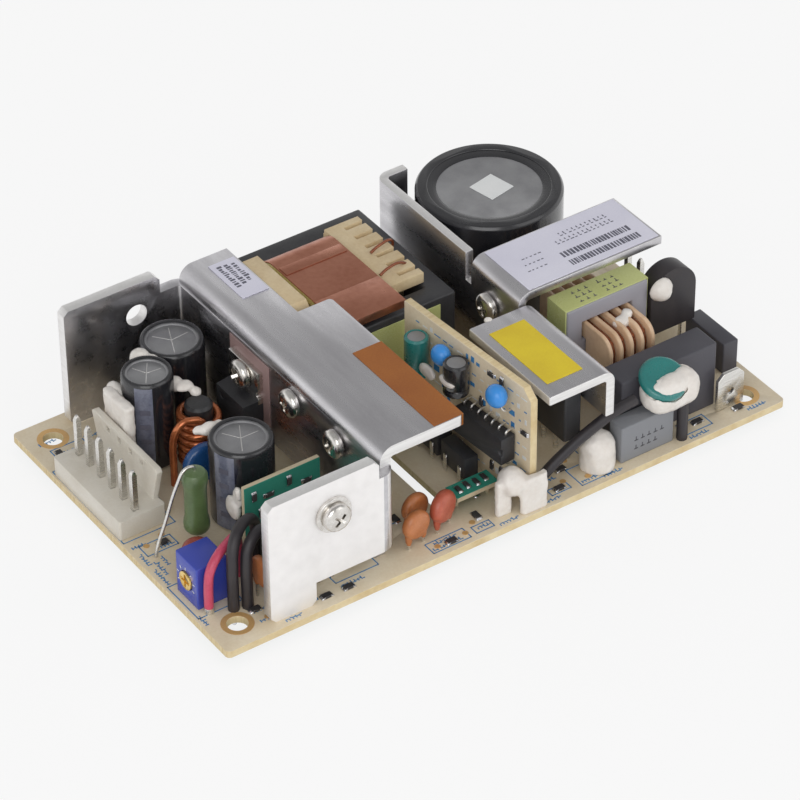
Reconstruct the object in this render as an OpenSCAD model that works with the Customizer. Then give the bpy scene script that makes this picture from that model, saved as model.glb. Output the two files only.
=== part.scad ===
/* [Circuit board] */
// Length of the board along X
board_l = 127; // [125:0.5:135]
// Width of the board along Y
board_w = 76.2; // [76.2:0.2:80]
// Thickness of the board
board_t = 1.6; // [1.2:0.1:2.4]
// Radius of the board's outer corners
board_corner_r = 1; // [0.5:0.1:2]
// Distance of the mounting holes from the board's edges
hole_edge = 5.715; // [5:0.005:6]
// Radius of a mounting hole
hole_r = 2; // [1.5:0.05:2.2]
// Width of the isolation slot
slot_w = 2.8; // [2:0.1:3]
// Length of the isolation slot
slot_l = 22; // [12:0.5:23]
// Height of a solder joint under the board
solder_h = 2; // [1:0.1:3]
// Radius of a solder joint at the board
solder_r = 0.95; // [0.7:0.05:1.1]
// Diameter of an ordinary component lead
lead_d = 0.7; // [0.5:0.05:0.9]

/* [Output heatsink] */
// Thickness of the output heatsink's sheet
sink_t = 2.3; // [1.5:0.1:2.6]
// Height of the output heatsink above the board
sink_h = 26.7; // [26:0.1:30]
// Outer radius of the output heatsink's bends
sink_bend_r = 3; // [2.8:0.1:3.4]
// Reach of the top flange at its wide front part
flange_w = 18.3; // [17.5:0.1:18.5]
// Reach of the top flange beside the transformer
flange_narrow_w = 10.8; // [8:0.1:11]
// Length of the wide part of the top flange
flange_wide_l = 43; // [30:0.5:43]
// Length of an ear, from the wall's face to its free end
ear_l = 27.7; // [27:0.1:28.5]
// Width of an ear's leg
ear_leg_w = 9.8; // [6:0.2:12]
// Height of the gap under the wall and the ears
sink_gap_h = 5; // [3:0.2:5.4]
// Width of a leg under the wall
sink_leg_w = 8; // [4:0.5:9]
// Radius of the open hole in the rear ear
ear_hole_r = 2.3; // [1.5:0.05:2.6]
// Depth of the relief notches under the flange
relief_h = 4.1; // [3:0.1:5]

/* [Screws] */
// Radius of a screw's shank
screw_r = 1.45; // [1.2:0.05:1.5]
// Radius of a pan head
screw_head_r = 2.9; // [2.4:0.1:3]
// Height of a pan head
screw_head_h = 2; // [1.6:0.1:2.4]
// Clearance round a shank in its hole
screw_clear = 0.2; // [0.15:0.05:0.4]
// Radius of the washer under the ear screw
washer_r = 3.7; // [3.2:0.1:4]
// Thickness of that washer
washer_t = 0.7; // [0.5:0.1:1]

/* [Power devices] */
// Width of a tab-mounted power device
device_w = 10; // [9:0.1:10.4]
// Depth of a power device
device_d = 4.5; // [4:0.1:4.8]
// Height of its moulded body
device_body_h = 9; // [8:0.1:9.4]
// Height of its bare tab above the body
device_tab_h = 6.2; // [5.8:0.1:6.6]
// Thickness of its tab
device_tab_t = 1.3; // [1:0.1:1.5]
// Distance between its leads
device_pitch = 2.54; // [2.4:0.02:2.6]

/* [Transformer] */
// Length of the core along the coil's axis
core_l = 32.4; // [31.6:0.1:33.4]
// Width of the core across the coil's axis
core_w = 33; // [32:0.1:33]
// Thickness of the core's plate section
core_h = 14; // [12:0.1:14.4]
// Width of an outer leg and of a back bar
core_leg = 4.5; // [4:0.1:4.6]
// Width of the centre leg
core_centre_w = 9; // [8:0.1:9.4]
// Height of the core above the board
core_lift = 7.5; // [7:0.1:7.8]
// Thickness of the bobbin's walls
bobbin_t = 1.2; // [0.8:0.1:1.3]
// Width of the copper band
band_w = 14.6; // [12:0.1:14.6]
// Thickness of the copper band
band_t = 0.3; // [0.2:0.05:0.4]
// Height of the coil over the board at its top
coil_top = 24.8; // [24.4:0.1:25.4]
// Radius of the coil's rounded corners
coil_corner_r = 5; // [3:0.1:6]

/* [Primary heatsink] */
// Thickness of the primary heatsink's sheet
primary_t = 1.8; // [1.2:0.1:1.9]
// Height of the primary heatsink
primary_h = 26.8; // [26.8:0.1:30]
// Length of the primary heatsink's wall
primary_l = 48.2; // [47:0.1:48.4]
// Reach of the flange that carries the label
label_flange_w = 33.8; // [30:0.1:36]
// Length of that flange along Y
label_flange_l = 15.4; // [12:0.1:16]
// Reach of the return at the rear end
primary_return_w = 6.8; // [4:0.1:6.8]
// Outer radius of the primary heatsink's bends
primary_bend_r = 2.8; // [2.4:0.1:3.2]

/* [Capacitors] */
// Diameter of the bulk capacitor over its sleeve
bulk_d = 29.2; // [26:0.1:29.2]
// Height of the bulk capacitor
bulk_h = 25.2; // [22:0.1:28]
// Thickness of the shrink sleeves
sleeve_t = 0.4; // [0.2:0.05:0.5]
// Diameter of the rear output capacitor
cap_a_d = 12.5; // [11:0.1:12.8]
// Height of the rear output capacitor
cap_a_h = 18; // [14:0.1:20]
// Diameter of the middle output capacitor
cap_b_d = 10; // [9:0.1:10.4]
// Height of the middle output capacitor
cap_b_h = 20; // [14:0.1:21]
// Diameter of the front output capacitor
cap_c_d = 12.3; // [11:0.1:12.6]
// Height of the front output capacitor
cap_c_h = 18; // [14:0.1:20]
// Length of the line filter's box capacitor
x_cap_l = 22.5; // [18:0.1:22.6]
// Depth of the line filter's box capacitor
x_cap_w = 6.3; // [5:0.1:6.4]
// Height of the line filter's box capacitor
x_cap_h = 14.9; // [12:0.1:16]
// Length of the small film capacitor
film_l = 12.3; // [10:0.1:12.6]
// Depth of the small film capacitor
film_w = 4; // [3:0.1:4.1]
// Height of the small film capacitor
film_h = 8.3; // [6:0.1:9]

/* [Line filter] */
// Width of the choke's ferrite frame along X
choke_l = 19; // [18:0.1:19.4]
// Depth of the choke's ferrite frame along Y
choke_d = 6.5; // [5.5:0.1:6.6]
// Height of the top of the ferrite frame
choke_h = 21.3; // [20:0.1:21.6]
// Section of the frame's bars
choke_bar = 3.6; // [3:0.1:3.8]
// Thickness of the tape round the frame
choke_tape_t = 0.25; // [0.15:0.05:0.3]
// Number of ribs on the choke's bobbin
choke_ribs = 5; // [4:1:6]
// Thickness of a rib
choke_rib_t = 0.9; // [0.6:0.05:1]
// Depth of a rib from front to back
choke_rib_d = 22.8; // [16:0.2:23]
// Width of the sleeved inrush limiter
thermistor_d = 10.8; // [9:0.1:10.8]
// Height of the sleeved inrush limiter
thermistor_h = 21.5; // [16:0.1:24]
// Thickness of the sleeved inrush limiter
thermistor_t = 4; // [3:0.1:4.4]
// Width of the ground tab
ground_tab_w = 6.3; // [5:0.1:6.4]
// Height of the ground tab
ground_tab_h = 8.4; // [6:0.1:9]
// Distance between the pins of the headers
header_pitch = 3.96; // [3.8:0.02:3.96]
// Side of a header pin
header_pin_w = 1.14; // [0.8:0.02:1.3]
// Height of a header pin above the board
header_pin_h = 13.5; // [11:0.1:14]
// Number of pins in the output header
header_pins = 6; // [4:1:6]

/* [Middle bracket] */
// Thickness of the middle bracket's sheet
bracket_t = 2; // [1.4:0.1:2.2]
// Width of the middle bracket's top
bracket_w = 15; // [14:0.1:15.2]
// Length of the middle bracket's top
bracket_l = 25.6; // [22:0.1:25.6]
// Height of the middle bracket
bracket_h = 24.5; // [24:0.1:26]
// Depth of the bracket's side leg
bracket_leg_h = 10.4; // [8:0.1:12]
// Width of the bracket's foot on the board
bracket_foot_w = 6; // [4:0.1:10]

/* [Small boards] */
// Thickness of the upright control board
control_t = 1.6; // [1.2:0.1:1.8]
// Length of the upright control board
control_l = 36.8; // [34:0.1:36.8]
// Height of the upright control board
control_h = 26.5; // [26:0.1:29]
// Width of the control chip across its leads
chip_w = 6.8; // [5.6:0.1:7]
// Length of the control chip
chip_l = 13.5; // [10:0.1:15]
// Thickness of the sense board
sense_t = 1; // [0.8:0.1:1.2]
// Length of the sense board
sense_l = 16.5; // [14:0.1:16.6]
// Height of the sense board
sense_h = 16; // [12:0.1:17]

/* [Output choke] */
// Diameter of the ferrite rod
rod_d = 5.4; // [4.6:0.1:5.6]
// Height of the top of the rod
rod_top = 15.2; // [14:0.1:16]
// Diameter of the coil's copper wire
coil_wire_d = 1.5; // [1.2:0.1:1.6]
// Number of turns on the rod
coil_turns = 7; // [5:1:7]

/* [Trimmer] */
// Size of the trimmer's housing along X
trimmer_l = 6.8; // [6.4:0.1:7]
// Size of the trimmer's housing along Y
trimmer_w = 7.2; // [6.8:0.1:7.3]
// Height of the trimmer's housing
trimmer_h = 9.4; // [9:0.1:10]
// Radius of the rotor's outer disc
rotor_r = 1.9; // [1.5:0.05:2]
// Radius of the rotor's captive flange
rotor_flange_r = 2.5; // [2.3:0.05:2.6]
// Running clearance of the rotor
rotor_clear = 0.05; // [0.03:0.01:0.08]

/* [Hidden] */
$fn = 48;

// Gap left between a soft or round piece and its neighbour
gap = 0.3;
// Depth of a cut past the face it starts from
over = 1;

// Mounting holes and the isolation slot on the board
hole_places = [for (x = [hole_edge, board_l - hole_edge], y = [hole_edge, board_w - hole_edge]) [x, y]];
slot_x = 54.7;
slot_y = 23;

// Output heatsink: outer faces of the wall and of the ears
sink_x = 36;
sink_front = 2;
sink_rear = board_w - 2;
wall_far = sink_x + sink_t;
ear_free_x = wall_far - ear_l;
bend_x = wall_far - sink_bend_r;
flange_front = sink_front + sink_t;
flange_rear = sink_rear - sink_t;
relief_z = sink_h - relief_h;
ear_corner = 1;
front_notch_x = sink_x - 1.7;
rear_notch_x = sink_x - 4.3;
wall_leg_places = [6.5, 58];
tape_t = 0.15;
tape_from = sink_x + 12;

// Power devices: [x, y, turn, lift], the tab's back face at x
device_hole_z = device_body_h + device_tab_h * 0.58;
device_lead_x = 2.4;
grip = sink_t + device_tab_t;
nut_t = 2.2;
rear_device = [sink_x, 47.8, 180, 4.8];
wall_devices = [[wall_far, 32.8, 0, 6.9], [wall_far, 18.2, 0, 6.9]];
ear_device = [24.2, flange_front, 90, 6.9];
// Open hole in the rear ear: place along X and height
rear_hole = [26.3, 19.6];
primary_device = [85, 36.4, 0, 6.5];

// Transformer
core_window_w = (core_w - core_centre_w) / 2 - core_leg;
core_x = 46.4;
core_y = 41.4;
core_mid_y = core_y + core_w / 2;
core_top = core_lift + core_h;
core_far = core_x + core_l;
window_from = core_x + core_leg + 0.2;
window_to = core_far - core_leg - 0.2;
coil_front = core_y + core_leg + gap;
coil_rear = core_y + core_w - core_leg - gap;
coil_bottom = 2 * core_lift + core_h - coil_top;
coil_from_x = window_from + bobbin_t + 0.1;
left_cheek_top = sink_h - 0.1;
right_cheek_x = window_to - 6.7;
right_rail_top = 24;
right_rail_far = right_cheek_x + 7.8;
left_rail_far = core_x + 4;
left_rail_y = [48.3, 66.6];

// Primary heatsink
primary_x = 83.2;
primary_rear = 75.5;
primary_front = primary_rear - primary_l;
primary_far = primary_x + primary_t;
primary_gap_h = 3;
label_flange_rear = primary_front + label_flange_l;
primary_notch_w = 1.8;

// Capacitors
bulk_x = 100.9;
bulk_y = 61.5;
cap_a = [28.8, 63.6];
cap_b = [18.3, 55.4];
cap_c = [23.5, 31.2];
x_cap_at = [92.5, 6.8];
film_at = [89.4, 2.4];

// Line filter
choke_x = 92;
choke_y = 23.5;
choke_mid_y = choke_y + choke_d / 2;
choke_lift = 1.2;
choke_window_h = choke_h - choke_lift - 2 * choke_bar;
choke_axis_z = (choke_h + choke_lift) / 2;
choke_hub_r = 3.2;
choke_slot_h = choke_window_h / 2 - choke_hub_r + 1;
choke_middle_h = 2 * (choke_hub_r - 1);
rib_from = choke_x + choke_bar + 0.5;
rib_to = choke_x + choke_l - choke_bar - 0.5;
rib_h = choke_window_h - 0.6;
thermistor_at = [board_l - 10, 25];
thermistor_lift = 7.6;
fuse_at = [board_l - 5, 13.2];
fuse_size = [3.6, 12, 7.1];
ground_tab_x = board_l - 13.1;
ground_tab_y = 4.5;
ac_header_at = [board_l - 9.8, 31.5];
ac_header_l = 7.6;
ac_pins = 3;

// Tilted disc over the film capacitor
safety_at = [99.6, 3.6, 15];
safety_tilt = 25;
safety_r = 4.8;
safety_t = 2;

// Middle bracket
bracket_x = 71.6;
bracket_y = 1.4;
bracket_far = bracket_x + bracket_w;
bracket_bend_r = 2.6;
bracket_foot_y = bracket_y + 15;

// Upright control board: its rear foot and its slight turn
control_at = [65.2, 39];
control_turn = 4.5;
chip_front = 4;
chip_z = 9;
chip_t = 3.3;

// Sense board
sense_x = 17;
sense_y = 20.2;

// Output header
header_x = 4.9;
header_first_y = 39.2;
header_base = [10, 23.8, 4.4];
header_base_x = 0.4;
header_lock_z = 12.4;

// Output choke
rod_at = [24.5, 47.5];
coil_pitch = coil_wire_d + 0.25;
coil_r = rod_d / 2 + gap / 2 + coil_wire_d / 2;
coil_from_z = 1.6;
coil_steps = 16;

// Trimmer
trimmer_x = 1.8;
trimmer_y = 12.7;
rotor_y = trimmer_y + trimmer_w * 0.53;
rotor_z = trimmer_h * 0.48;
rotor_disc_t = 0.8;
rotor_flange_t = 1.2;
rotor_socket = rotor_disc_t + rotor_flange_t + 3 * rotor_clear;

// Routes of the sleeved leads
lead_sleeve_r = 1.1;
lead_route = [[71.1, 4.9, 0], [71.1, 4.9, 1.6], [72.8, 4.9, 3.2], [78, 4.7, 6.8], [84, 4.2, 10.2],
    [89.4, 3.8, 12.4], [93.2, 3.6, 13.1]];
riser_route = [[103.6, 2.2, 0], [103.6, 2.2, 3], [103.6, 2.2, 6], [103.6, 2.3, 8.4]];
red_route = [[3.2, 11.2, 0], [3.2, 11.2, 3], [3.3, 11.2, 6.5], [3.8, 11.3, 9.2], [5.6, 11.9, 11.2],
    [8.6, 13.2, 12], [11.4, 15, 11.2], [13, 16.6, 8.6], [13.4, 17, 5], [13.4, 17, 0]];
black_routes = [
    [[7.3, 9.4, 0], [7.3, 9.4, 5], [7.4, 9.5, 10], [8, 10, 13.4], [10, 11.4, 15.6], [13, 13.2, 15.6],
        [15.4, 14.6, 13.2], [16, 15, 9], [16, 15, 4], [16, 15, 0]],
    [[9.8, 8.6, 0], [9.8, 8.6, 5], [9.9, 8.7, 10], [10.6, 9.1, 13], [12.6, 9.9, 14.6], [15.2, 10.8, 14.2],
        [17, 11.4, 11.6], [17.4, 11.6, 8], [17.4, 11.6, 4], [17.4, 11.6, 0]]];
coil_foot = [rod_at[0] + coil_r, rod_at[1]];
coil_top_z = coil_from_z + coil_turns * coil_pitch;
coil_tail = [[20, 44.6, coil_top_z + 0.7], [18.6, 44.8, coil_top_z], [17.7, 45.2, coil_top_z - 1.8],
    [17.4, 45.6, 9], [17.4, 45.6, 5], [17.4, 45.6, 0]];
coil_route = concat([[coil_foot[0], coil_foot[1], 0]],
    [for (k = [0:round((coil_turns - 0.3) * coil_steps)])
        let (a = k * 360 / coil_steps)
        [rod_at[0] + coil_r * cos(a), rod_at[1] + coil_r * sin(a),
            coil_from_z + k * coil_pitch / coil_steps]],
    coil_tail);

// Ceramic discs: [x, y, height of the centre, radius, thickness, turn about Z]
disc_parts = [[44.4, 5.2, 5, 3, 2.4, 8], [51.4, 6.6, 5, 3.3, 2.6, 22], [47.6, 10.2, 4.2, 3, 2.2, 8],
    [12.9, 8.2, 7, 3.2, 1.6, 90]];
red_disc = [8.7, 23.5, 3.4, 3, 2.3, -34];
filter_disc_at = [20.5, 40.1, 7.6, 4.3, 2.3, 0];

// Middle of every soldered lead
header_pin_places = [for (i = [0:header_pins - 1]) [header_x, header_first_y + i * header_pitch]];
ac_pin_places = [for (i = [0:ac_pins - 1])
    [ac_header_at[0] + 3.4, ac_header_at[1] + 2.6 + i * header_pitch]];
disc_lead_places = [for (d = concat(disc_parts, [red_disc, filter_disc_at]), s = [-1, 1])
    [d[0] + s * disc_lead_reach(d) * cos(d[5]), d[1] + s * disc_lead_reach(d) * sin(d[5])]];
can_lead_places = [for (c = [[cap_a, 2.5], [cap_b, 2.5], [cap_c, 2.5], [[bulk_x, bulk_y], 5]], s = [-1, 1])
    [c[0][0], c[0][1] + s * c[1]]];
device_lead_places = [for (d = concat([rear_device, ear_device, primary_device], wall_devices), k = [-1:1])
    [d[0] + device_lead_x * cos(d[2]) - k * device_pitch * sin(d[2]),
        d[1] + device_lead_x * sin(d[2]) + k * device_pitch * cos(d[2])]];
bobbin_pin_places = [for (x = [core_x + core_leg / 2 + 0.2, core_far - core_leg / 2 - 0.2], k = [-2:2])
    [x, core_mid_y + k * 5]];
bridge_size = [3.9, 14.6, 12.4];
bridge_at = [bracket_far - bracket_t - gap - bridge_size[0], bracket_y + 7];
bridge_lift = 5.4;
bridge_lead_places = [for (k = [0:3]) [bridge_at[0] + bridge_size[0] / 2, bridge_at[1] + 1.5 + k * 3.8]];
box_lead_places = concat(
    [for (s = [0.12, 0.88]) [x_cap_at[0] + s * x_cap_l, x_cap_at[1] + x_cap_w / 2]],
    [for (s = [0.1, 0.9]) [film_at[0] + s * film_l, film_at[1] + film_w / 2]],
    [for (s = [0.15, 0.85]) [fuse_at[0] + fuse_size[0] / 2, fuse_at[1] + s * fuse_size[1]]]);
thermistor_lead_places = [for (s = [-1, 1]) [thermistor_at[0] + s * 3.5, thermistor_at[1]]];
choke_lead_places = [for (x = [rib_from + 0.6, rib_to - 0.6], s = [-1, 1])
    [x, choke_mid_y + s * (choke_d / 2 + 3)]];
opto_places = [[61.4, 13.6], [61.4, 22.6]];
opto_size = [3.1, 8.2, 6.4];
opto_lead_places = [for (p = opto_places, s = [0.2, 0.8])
    [p[0] + opto_size[0] / 2, p[1] + s * opto_size[1]]];
control_pin_places = [for (k = [0:7]) control_point(0, 4 + k * 4.2)];
sense_pin_places = [for (k = [0:4]) [sense_x + 1.6 + k * 3.2, sense_y + sense_t / 2]];
aux_at = [55.8, 8.2];
aux_size = [9.4, 4, 1.1];
aux_z = 2.5;
aux_pin_places = [for (dx = [1.2, 8.2]) [aux_at[0] + dx, aux_at[1] + aux_size[1] / 2]];
resistor_at = [12, 29];
resistor_r = 2.5;
resistor_top = 17;
resistor_end = [3.4, 29.8];
resistor_route = [[12, 29, 16.5], [12, 29, 17.4], [11.3, 29, 18.1], [10, 29.1, 17.9], [8.6, 29.2, 15.6],
    [5.6, 29.6, 7], [4, 29.8, 2.4], [resistor_end[0], resistor_end[1], 0]];
trimmer_pin_places = [for (s = [0.2, 0.8]) [trimmer_x + trimmer_l * 0.62, trimmer_y + s * trimmer_w]];
wire_ends = [[for (r = [lead_route, riser_route, red_route]) [r[0][0], r[0][1]]],
    [for (r = black_routes) [r[0][0], r[0][1]]],
    [for (r = concat([red_route], black_routes)) [r[len(r) - 1][0], r[len(r) - 1][1]]]];
solder_places = concat(header_pin_places, ac_pin_places, disc_lead_places, can_lead_places,
    device_lead_places, bobbin_pin_places, bridge_lead_places, box_lead_places, thermistor_lead_places,
    choke_lead_places, opto_lead_places, control_pin_places, sense_pin_places, aux_pin_places,
    [resistor_at, resistor_end], trimmer_pin_places, wire_ends[0], wire_ends[1], wire_ends[2],
    [[coil_tail[5][0], coil_tail[5][1]], coil_foot],
    [for (s = [0.3, 0.7]) [ground_tab_x + s * ground_tab_w, ground_tab_y + 0.4]]);

function disc_lead_reach(d) = d[3] * 0.6;
function control_point(across, along) = [
    control_at[0] + across * cos(control_turn) + along * sin(control_turn),
    control_at[1] + across * sin(control_turn) - along * cos(control_turn)];

// Puts a piece at a place measured from the board's front left corner, above its top face
module on_board(p = [0, 0, 0]) {
    translate([p[0] - board_l / 2, p[1] - board_w / 2, board_t + p[2]])
        children();
}

// A profile drawn in X and Z, drawn out along Y
module along_y(from, to) {
    translate([0, to, 0])
        rotate([90, 0, 0])
            linear_extrude(to - from)
                children();
}

// A profile drawn in Y and Z, drawn out along X
module along_x(from, to) {
    translate([from, 0, 0])
        rotate([90, 0, 90])
            linear_extrude(to - from)
                children();
}

module rounded_rect(l, w, r) {
    translate([r, 0]) square([l - 2 * r, w]);
    translate([0, r]) square([l, w - 2 * r]);
    for (x = [r, l - r], y = [r, w - r])
        translate([x, y]) circle(r);
}

module rounded_box(size, r) {
    linear_extrude(size[2]) rounded_rect(size[0], size[1], r);
}

// A quarter ring in the corner given by its signs
module quarter_ring(r_out, r_in, sx, sy) {
    intersection() {
        difference() {
            circle(r_out);
            circle(r_in);
        }
        translate([min(0, sx * r_out * 2), min(0, sy * r_out * 2)]) square(r_out * 2);
    }
}

// Round leads that stand on the board
module leads(places, h, d = lead_d) {
    for (p = places)
        on_board([p[0], p[1], 0]) cylinder(h = h, d = d, $fn = 16);
}

// Direction of a route at one of its points
function route_dir(route, i) =
    let (lo = max(0, i - 1), hi = min(len(route) - 1, i + 1))
    route[hi] - route[lo];

// A frame carried along the route, so that its rings never turn against each other
function carried(route, i) =
    i == 0 ? start_side(route_dir(route, 0))
        : let (before = carried(route, i - 1), d = unit(route_dir(route, i)))
            unit(before - (before * d) * d);
function unit(v) = v / norm(v);
function start_side(dir) = unit(cross(unit(dir), abs(unit(dir)[2]) < 0.9 ? [0, 0, 1] : [0, 1, 0]));
function turned_ring(p, dir, side, r, sides) =
    let (b = cross(unit(dir), side))
    [for (k = [0:sides - 1]) p + r * (cos(k * 360 / sides) * side + sin(k * 360 / sides) * b)];

// A tube swept along a route, with flat ends
module tube(route, r, sides = 8) {
    n = len(route);
    points = [for (i = [0:n - 1])
        let (d = i == 0 && route[1][2] > route[0][2] && route[0][2] == 0 ? [0, 0, 1]
            : i == n - 1 && route[n - 1][2] == 0 ? [0, 0, -1] : route_dir(route, i))
        each turned_ring(route[i], d, carried(route, i), r, sides)];
    faces = concat(
        [[for (k = [0:sides - 1]) k]],
        [for (i = [0:n - 2], k = [0:sides - 1])
            [i * sides + k, (i + 1) * sides + k,
                (i + 1) * sides + (k + 1) % sides, i * sides + (k + 1) % sides]],
        [[for (k = [0:sides - 1]) n * sides - 1 - k]]);
    polyhedron(points, faces, convexity = 6);
}

module circuit_board() {
    color("wheat")
        on_board([0, 0, -board_t])
            difference() {
                rounded_box([board_l, board_w, board_t], board_corner_r);
                for (p = hole_places)
                    translate([p[0], p[1], -over]) cylinder(h = board_t + 2 * over, r = hole_r);
                translate([slot_x - slot_w / 2, slot_y - slot_l / 2, -over])
                    rounded_box([slot_w, slot_l, board_t + 2 * over], slot_w / 2 - 0.01);
            }
}

module solder_joints() {
    color("silver")
        for (p = solder_places)
            on_board([p[0], p[1], -board_t - solder_h])
                cylinder(h = solder_h, r1 = solder_r * 0.45, r2 = solder_r, $fn = 16);
}

// Outline of an ear in X and Z
module ear_outline(notch_x) {
    polygon([[ear_free_x + ear_corner, 0], [ear_free_x + ear_leg_w - ear_corner, 0],
        [ear_free_x + ear_leg_w, ear_corner], [ear_free_x + ear_leg_w, sink_gap_h], [bend_x, sink_gap_h],
        [bend_x, relief_z], [notch_x, relief_z], [notch_x, sink_h - ear_corner],
        [notch_x - ear_corner, sink_h], [ear_free_x + ear_corner, sink_h],
        [ear_free_x, sink_h - ear_corner], [ear_free_x, ear_corner]]);
}

module output_heatsink() {
    inner_r = sink_bend_r - sink_t;
    color("silver")
        on_board()
            difference() {
                union() {
                    // Wall, top bend and flange
                    along_y(flange_front, flange_rear) {
                        translate([sink_x, relief_z]) square([sink_t, sink_h - sink_bend_r - relief_z]);
                        translate([sink_x + sink_bend_r, sink_h - sink_bend_r])
                            quarter_ring(sink_bend_r, inner_r, -1, 1);
                        translate([sink_x + sink_bend_r, sink_h - sink_t])
                            square([flange_narrow_w - sink_bend_r, sink_t]);
                    }
                    translate([sink_x + flange_narrow_w - over, flange_front, sink_h - sink_t])
                        rounded_box([flange_w - flange_narrow_w + over, flange_wide_l, sink_t], 0.9);
                    translate([sink_x, sink_front + sink_bend_r, sink_gap_h])
                        cube([sink_t, sink_rear - sink_front - 2 * sink_bend_r, relief_z - sink_gap_h]);
                    // Corner bends
                    translate([bend_x, sink_front + sink_bend_r, sink_gap_h])
                        linear_extrude(relief_z - sink_gap_h) quarter_ring(sink_bend_r, inner_r, 1, -1);
                    translate([bend_x, sink_rear - sink_bend_r, sink_gap_h])
                        linear_extrude(relief_z - sink_gap_h) quarter_ring(sink_bend_r, inner_r, 1, 1);
                    // Ears
                    along_y(sink_front, flange_front) ear_outline(front_notch_x);
                    along_y(flange_rear, sink_rear) ear_outline(rear_notch_x);
                    // Legs under the wall
                    for (y = wall_leg_places)
                        translate([sink_x, y, 0]) cube([sink_t, sink_leg_w, sink_gap_h]);
                }
                for (d = concat([rear_device], wall_devices))
                    translate([sink_x - over, d[1], d[3] + device_hole_z])
                        rotate([0, 90, 0]) cylinder(h = sink_t + 2 * over, r = screw_r + screw_clear);
                translate([ear_device[0], sink_front - over, ear_device[3] + device_hole_z])
                    rotate([-90, 0, 0]) cylinder(h = sink_t + 2 * over, r = screw_r + screw_clear);
                translate([rear_hole[0], flange_rear - over, rear_hole[1]])
                    rotate([-90, 0, 0]) cylinder(h = sink_t + 2 * over, r = ear_hole_r);
            }
}

// A screw along +X from under its head, with a cross recess in the head
module screw(shank_l) {
    difference() {
        union() {
            translate([-screw_head_h, 0, 0]) rotate([0, 90, 0]) {
                translate([0, 0, screw_head_h * 0.35]) cylinder(h = screw_head_h * 0.65, r = screw_head_r);
                cylinder(h = screw_head_h * 0.35, r = screw_head_r * 0.85);
            }
            rotate([0, 90, 0]) cylinder(h = shank_l, r = screw_r);
        }
        for (a = [0, 90])
            translate([-screw_head_h, 0, 0]) rotate([a, 0, 0]) cube([1.6, 0.6, 3], center = true);
    }
}

// A nut round the end of a shank, its seat at x = 0
module nut() {
    rotate([0, 90, 0])
        difference() {
            cylinder(h = nut_t, r = screw_head_r, $fn = 6);
            translate([0, 0, -over]) cylinder(h = nut_t + 2 * over, r = screw_r + 0.03);
        }
}

module ear_screw() {
    color("gainsboro")
        on_board([ear_device[0], sink_front - washer_t, ear_device[3] + device_hole_z])
            rotate([0, 0, 90]) rotate([45, 0, 0]) screw(washer_t + grip + nut_t + 0.6);
}

module ear_washer() {
    color("lightgray")
        on_board([ear_device[0], sink_front, ear_device[3] + device_hole_z])
            rotate([90, 0, 0])
                difference() {
                    cylinder(h = washer_t, r = washer_r);
                    translate([0, 0, -over])
                        cylinder(h = washer_t + 2 * over, r = screw_r + screw_clear);
                }
}

module sink_screws() {
    color("gainsboro") {
        for (d = wall_devices)
            on_board([sink_x, d[1], d[3] + device_hole_z]) screw(grip + nut_t + 0.6);
        on_board([sink_x - device_tab_t, rear_device[1], rear_device[3] + device_hole_z])
            screw(grip + nut_t + 0.6);
        on_board([primary_x, primary_device[1], primary_device[3] + device_hole_z])
            screw(primary_t + device_tab_t + nut_t + 0.6);
    }
}

module screw_nuts() {
    color("silver") {
        for (d = wall_devices)
            on_board([wall_far + device_tab_t, d[1], d[3] + device_hole_z]) nut();
        on_board([wall_far, rear_device[1], rear_device[3] + device_hole_z]) nut();
        on_board([primary_far + device_tab_t, primary_device[1], primary_device[3] + device_hole_z]) nut();
        on_board([ear_device[0], flange_front + device_tab_t, ear_device[3] + device_hole_z])
            rotate([0, 0, 90]) nut();
    }
}

// A power device on its leads: tab against x = 0, body towards +X
module power_device(lift) {
    difference() {
        union() {
            translate([0, -device_w / 2, lift + device_body_h - over])
                cube([device_tab_t, device_w, device_tab_h + over]);
            translate([0, -device_w / 2, lift]) cube([device_d, device_w, device_body_h]);
            for (k = [-1:1])
                translate([device_lead_x - 0.25, k * device_pitch - 0.4, 0]) cube([0.5, 0.8, lift + 0.1]);
        }
        translate([-over, 0, lift + device_hole_z])
            rotate([0, 90, 0]) cylinder(h = device_tab_t + 2 * over, r = screw_r + screw_clear);
    }
}

module output_rectifiers() {
    color([0.16, 0.16, 0.17])
        for (d = concat([rear_device, ear_device], wall_devices))
            on_board([d[0], d[1], 0]) rotate([0, 0, d[2]]) power_device(d[3]);
}

module switching_transistor() {
    color([0.16, 0.16, 0.17])
        on_board([primary_far, primary_device[1], 0]) power_device(primary_device[3]);
}

module flange_tape() {
    far = sink_x + flange_w;
    color("chocolate")
        on_board()
            along_y(flange_front + 0.2, flange_front + 26.5) {
                translate([tape_from, sink_h]) square([far - tape_from + tape_t, tape_t]);
                translate([far, sink_h - sink_t - tape_t]) square([tape_t, sink_t + 2 * tape_t]);
                translate([far - 2, sink_h - sink_t - tape_t]) square([2 + tape_t, tape_t]);
            }
}

module small_label() {
    color("whitesmoke")
        on_board([sink_x + 4.6, 56.5, sink_h]) cube([5.8, 12.3, tape_t]);
}

module transformer_core() {
    color([0.2, 0.2, 0.21])
        on_board([core_x, core_y, core_lift])
            difference() {
                cube([core_l, core_w, core_h]);
                for (s = [0, 1])
                    translate([core_leg, core_leg + s * (core_w + core_centre_w - 2 * core_leg) / 2, -over])
                        cube([core_l - 2 * core_leg, core_window_w, core_h + 2 * over]);
            }
}

// The bobbin's section round the centre leg, grown by g on every side
module centre_section(g) {
    translate([core_mid_y - core_centre_w / 2 - g, core_lift - g])
        square([core_centre_w + 2 * g, core_h + 2 * g]);
}

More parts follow.
